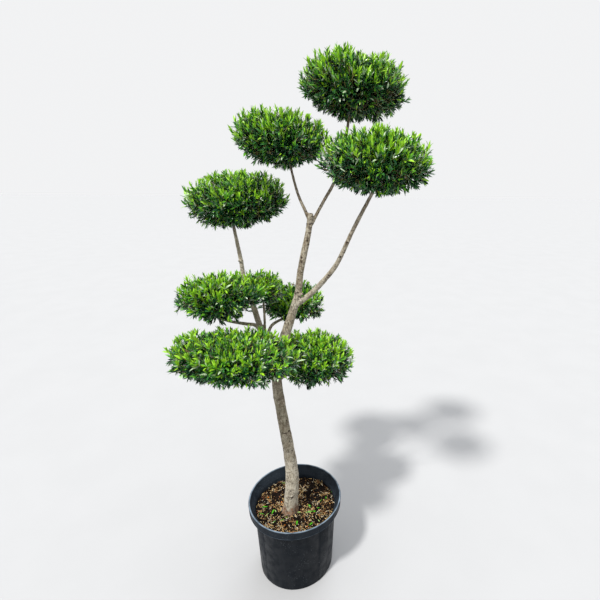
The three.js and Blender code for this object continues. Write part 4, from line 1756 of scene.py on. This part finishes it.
@dataclass
class Growth:
    """The rule by which a cloud grows from its heart to its clipped skin.

    Main twigs and shoots come from the plan's own rule; branchlets and leafy shoots carry it on.
    Leading shoots stand up out of the rest with their young leaves still closed. Sizes are
    millimetres.

    Attributes:
        form: The space that the cloud keeps to.
        guard: The limbs that twigs and leaves keep clear of.
    """

    form: CloudForm
    guard: LimbGuard
    main_count: int = 7
    main_reach: float = 0.5
    main_radii: tuple[float, float] = (4.0, 3.2)
    shoots_least: int = 5
    skin_each: float = 3200.0
    shoot_depth: float = 34.0
    shoot_radii: tuple[float, float] = (3.0, 1.8)
    spray_spacing: float = 46.0
    spray_looseness: float = 0.35
    spray_depth: float = 64.0
    spray_lift: float = 8.0
    spray_radii: tuple[float, float] = (2.0, 1.2)
    root_drop: float = 0.35
    leafy_spacing: float = 15.0
    leafy_depth: float = 10.0
    leafy_radii: tuple[float, float] = (1.25, 0.6)
    leader_share: float = 0.16
    leader_proud: float = 23.0
    proud_tips: float = 20.0
    # How much darker each pair down a shoot is: the leaves' age together with painted shade deeper in
    # the cloud.
    leader_age_and_shade_per_pair: float = 0.15
    age_and_shade_per_pair: float = 0.115
    twig_wander: float = 0.015
    underside_share: float = 0.62
    runner_spacing: float = 60.0
    runner_pairs: int = 3
    runner_length: float = 62.0
    runner_depth: float = 5.0
    runner_cover: float = 16.0
    runner_radii: tuple[float, float] = (1.4, 0.8)
    # Shares of leaves showing a pale back brightened as a painted highlight, on top and underneath.
    back_and_highlight_above: float = 0.12
    back_and_highlight_below: float = 0.06
    age_spread: float = 0.36
    # Where the leaf colours change, from young greens to the painted shade of the deep and shaded
    # leaves.
    age_and_shade_limits: tuple[float, ...] = (-0.74, -0.50, -0.10, 0.50)
    light: Place = (-0.15, -0.3, 0.94)
    plan: ShootPlan = ShootPlan()
    outline: LeafOutline = LeafOutline()

    def __post_init__(self) -> None:
        """Starts the cloud's random numbers, and what grows in it."""
        self.random = np.random.default_rng(self.form.seed)
        self.twigs = Gathered()
        self.leaves = Gathered()
        self.heart = np.array(self.form.heart) * MM
        self.root = self.heart - UP * self.root_drop * self.form.drop * MM

    def build(self, paints: dict[str, list]) -> None:
        """Grows the cloud and dresses it.

        Args:
            paints: The materials of the leaves and of the twigs.
        """
        numbers = SeededNumbers(self.form.seed)
        ways = self.form.spread(self.main_count, FULL_TURN * numbers.next())
        forks = self._out(ways, self.form.reach(ways) * self.main_reach)
        hearts = np.repeat(self.heart[None], len(forks), 0)
        self._add_twigs(Bows(hearts, forks, forks), self.main_radii, 5, TwigAge.OLD)
        skin = self.form.half_width * self.form.half_depth
        count = self.shoots_least + round(skin / self.skin_each)
        ways = self.form.spread(count, FULL_TURN * numbers.next())
        tips = self._out(ways, self.form.reach(ways) - self.shoot_depth * MM)
        butts = forks[nearest(forks, tips)]
        self._add_twigs(Bows(butts, tips, tips), self.shoot_radii, 5, TwigAge.OLD)
        shares = np.linspace(0.1, 0.95, 10)[None, :, None]
        starts, ends = np.concatenate([hearts, butts]), np.concatenate([forks, tips])
        wood = mixed(starts[:, None], ends[:, None], shares).reshape(-1, 3)
        self._leafy_shoots(self._sprays(wood))
        self._runners()
        name = self.form.name
        kept(self.leaves.piece(f"leaves_{name}", paints["leaves"]), (f"cloud_{name}",))
        kept(self.twigs.piece(f"twigs_{name}", paints["twigs"]))

    def _out(self, ways: Rows, distances: Rows) -> Rows:
        """Gives the places at distances from the heart."""
        return self.heart + ways * distances[:, None]

    def _add_twigs(
        self, bows: Bows, radii: tuple[float, float], sides: int, age: TwigAge, rings: int = 5
    ) -> None:
        """Adds a tapering, slightly crooked twig along each bow."""
        shares = np.linspace(0.0, 1.0, rings)[None, :, None]
        paths = bowed(bows.start[:, None], bows.bend[:, None], bows.tip[:, None], shares)
        length = np.linalg.norm(bows.tip - bows.start, axis=1)[:, None, None]
        wander = self.random.normal(0, self.twig_wander, paths.shape) * length
        wander[:, [0, -1]] = 0
        girths = np.repeat(mixed(*radii, shares[..., 0]) * MM, len(paths), 0)
        finishes = np.full(len(paths), number_of(age))
        self.twigs.add(tubes(paths + wander, girths, sides), tube_triangles(rings, sides), finishes)

    def _sprays(self, wood: Rows) -> Sprays:
        """Grows the branchlets, which fan out from low in the cloud and turn up to its skin.

        Args:
            wood: Points on the thicker twigs that a branchlet may leave.

        Returns:
            The branchlets.
        """
        ways = self.form.scattered(self.spray_spacing, self.spray_looseness, self.random)
        reach = self.form.reach(ways)
        below = smooth_step(0.0, -0.7, self.form.outward(ways)[:, 2])
        depth = np.minimum(self.spray_depth * mixed(1.0, 0.6, below) * MM, 0.45 * reach)
        ends = self._out(ways, reach - depth)
        starts = wood[nearest(wood, mixed(self.root, ends, 0.4))]
        length = np.linalg.norm(ends - starts, axis=1)[:, None]
        bends = mixed(starts, ends, 0.6) - UP * 0.12 * length
        self._add_twigs(Bows(starts, bends, ends), self.spray_radii, 4, TwigAge.SECOND_YEAR)
        lift = self.random.normal(0, self.spray_lift * MM, len(ways))
        return Sprays(starts, bends, ends, self._out(ways, reach), lift)

    def _leafy_shoots(self, sprays: Sprays) -> None:
        """Grows the leafy shoots of every spray up to the clipped skin."""
        random = self.random
        ways = self.form.scattered(self.leafy_spacing, 1.0, random)
        count = len(ways)
        outward = self.form.outward(ways)
        rising = smooth_step(-0.75, 0.1, outward[:, 2])
        leads = random.random(count) < self.leader_share * (0.35 + 0.65 * rising)
        reach = self.form.reach(ways)
        skin = self._out(ways, reach)
        own = sprays.chosen(nearest(sprays.skin, skin))
        shy = mixed(6, 20, rising) + random.exponential(self.leafy_depth, count)
        proud = random.exponential(7.0, count) - self.leader_proud * random.random(count) ** 2
        depth = self.plan.ahead + np.where(leads, proud, shy)
        depth = np.maximum(depth * MM - own.lift, 0.55 * self.plan.ahead * MM)
        tips = self._out(ways, reach - depth)
        upright = rising[:, None] * np.where(leads, 1.1, 0.75)[:, None]
        outer = outward * np.where(leads, 0.36, 0.52)[:, None]
        fan = unit(skin - own.skin)
        ends = unit(outer + UP * upright + fan * 0.2 + random.normal(0, 0.15, (count, 3)))
        starts = own.at(1 - random.random(count)[:, None] * 0.75)
        length = np.linalg.norm(tips - starts, axis=1)
        bends = tips - ends * (0.5 * length)[:, None]
        grown = random.random(count) < mixed(self.underside_share, 1.0, rising)
        shoots = Shoots(starts, bends, tips, length, outward, leads)
        shoots = shoots.chosen(self.guard.clear(tips) & grown)
        self._add_twigs(shoots, self.leafy_radii, 3, TwigAge.YOUNG, rings=3)
        self._add_leaves(shoots, len(self.plan.steps))

    def _runners(self) -> None:
        """Grows the long bare shoots that run up just under the skin to a tuft of leaves."""
        random = self.random
        ways = self.form.scattered(self.runner_spacing, 1.0, random)
        count = len(ways)
        outward = self.form.outward(ways)
        depth = self.plan.ahead + random.exponential(self.runner_depth, count)
        tips = self._out(ways, self.form.reach(ways) - depth * MM)
        along = UP - outward * outward[:, 2:]
        ends = unit(along + outward * 0.6 + random.normal(0, 0.3, (count, 3)))
        length = self.runner_length * MM * random.uniform(0.7, 1.3, count)
        bends = tips - ends * (0.7 * length)[:, None]
        starts = mixed(self.root, bends, 0.5)
        free = self.guard.clear(tips) & self.guard.clear(bends) & self.guard.clear(starts)
        free &= self._inside(bends, -self.runner_cover)
        runners = Shoots(starts, bends, tips, length, outward, np.ones(count, bool)).chosen(free)
        self._add_twigs(runners, self.runner_radii, 3, TwigAge.YOUNG)
        self._add_leaves(runners, self.runner_pairs)

    def _add_leaves(self, shoots: Shoots, pairs: int) -> None:
        """Sets the crossed pairs of leaves on the shoots, and gives each its colour: by age, with
        painted light and shade by where it sits, and on some a pale back brightened as a painted
        highlight.
        """
        plan, random, leads = self.plan, self.random, shoots.leads
        count = len(leads)
        turn = FULL_TURN * random.random(count)
        vigour = np.clip(random.normal(1.0, 0.12, count), 0.7, 1.25)
        age_and_shade_per_pair = np.where(leads, self.leader_age_and_shade_per_pair, self.age_and_shade_per_pair)
        young, old = random.normal(0.85, 0.15, count), random.normal(1.1, 0.2, count)
        opening = np.clip(np.where(leads, young, old), 0.45, 1.5)
        youth_and_light = self._youth_and_light(shoots)
        above = smooth_step(-0.6, 0.4, shoots.outward[:, 2])
        # The share of leaves with a pale back and painted highlight, more on top than underneath.
        turned = mixed(self.back_and_highlight_below, self.back_and_highlight_above, above)
        rows = list(zip(plan.steps, plan.leans, plan.lengths, plan.slimness))[:pairs]
        for pair, (step, lean, size, slim) in enumerate(rows):
            down = step * MM * vigour
            share = np.clip(1 - down / shoots.length, 0.0, 1.0)[:, None]
            place, axis = shoots.at(share), shoots.ways(share)
            level = unit(np.cross(axis, UP) + SAME_PLACE)
            cross = np.cross(axis, level)
            widest = np.minimum(np.radians(lean) * opening, plan.widest)
            turning = np.where(leads & (pair < 3), 0.15, 1.0)[:, None]
            scale = np.where(leads & (pair < 4), plan.leader_scale, 1.0)
            for side in (0.0, math.pi):
                angle = turn + pair * math.pi / 2 + side + random.normal(0, 0.2, count)
                out = swung(level, cross, angle)
                leaning = widest + random.normal(0, 0.1, count)
                way = swung(axis, out, leaning)
                face = swung(-out, axis, leaning) + np.array(self.light) * turning
                face = square_to(way, face + random.normal(0, 0.28, (count, 3)))
                length = size * MM * vigour * np.clip(random.normal(1, 0.14, count), 0.6, 1.4)
                length = length * scale
                tip = place + way * length[:, None]
                keep = (down < plan.rooted * shoots.length) & (random.random(count) > plan.missing)
                keep &= self._inside(tip, self.proud_tips) & self.guard.clear(tip)
                keep &= self.guard.clear(place + way * (length * 0.6)[:, None])
                # Darker down each shoot and on shoots that are lower or turned from the light: age
                # together with painted shade.
                fresh = youth_and_light - age_and_shade_per_pair * pair + random.normal(0, self.age_spread, count)
                age = np.digitize(-fresh, self.age_and_shade_limits)
                # Some leaves past the second pair show a pale back brightened as a painted highlight.
                age[(random.random(count) < turned) & (pair > 1)] = number_of(LeafAgeAndShade.TURNED)
                shapes = self.outline.leaves(place, way, face, length, length * slim)
                self.leaves.add(shapes[keep], LEAF_TRIANGLES, age[keep])

    def _inside(self, points: Rows, margin: float) -> Rows:
        """Tells which points keep to the cloud's space, give or take a margin in millimetres."""
        offset = points - self.heart
        return np.linalg.norm(offset, axis=1) < self.form.reach(unit(offset)) + margin * MM

    def _youth_and_light(self, shoots: Shoots) -> Rows:
        """Gives how young and how lit each shoot's tip is: most on leading shoots, on top and facing
        the light, least underneath; the lit and the underneath parts are painted light and shade.
        """
        # Painted light: tips that face the light get brighter leaves.
        lit = shoots.outward @ unit(np.array(self.light))
        above = smooth_step(-0.45, 0.4, shoots.outward[:, 2])
        base = np.where(shoots.leads, mixed(0.55, 1.06, above), mixed(0.3, 0.46, above))
        return base + 0.16 * lit + self.random.normal(0, 0.12, len(lit))


def main() -> None:
    """Builds the camera, the studio, the pot with its soil, the wood and the clouds."""
    logging.basicConfig(level=logging.INFO, format="%(name)s: %(message)s", force=True)
    Photograph().build()
    Studio().build()
    Pot().build()
    Soil().build(TRUNK.route().at(0.02)[0])
    Wood().build()
    paints = {
        "leaves": [LeafBlade(age).material() for age in LeafAgeAndShade],
        "twigs": [TwigSkin(age).material() for age in TwigAge],
    }
    guard = LimbGuard([TRUNK, *BOUGHS])
    for form in CLOUDS:
        Growth(form, guard).build(paints)


if __name__ == "__main__":
    main()
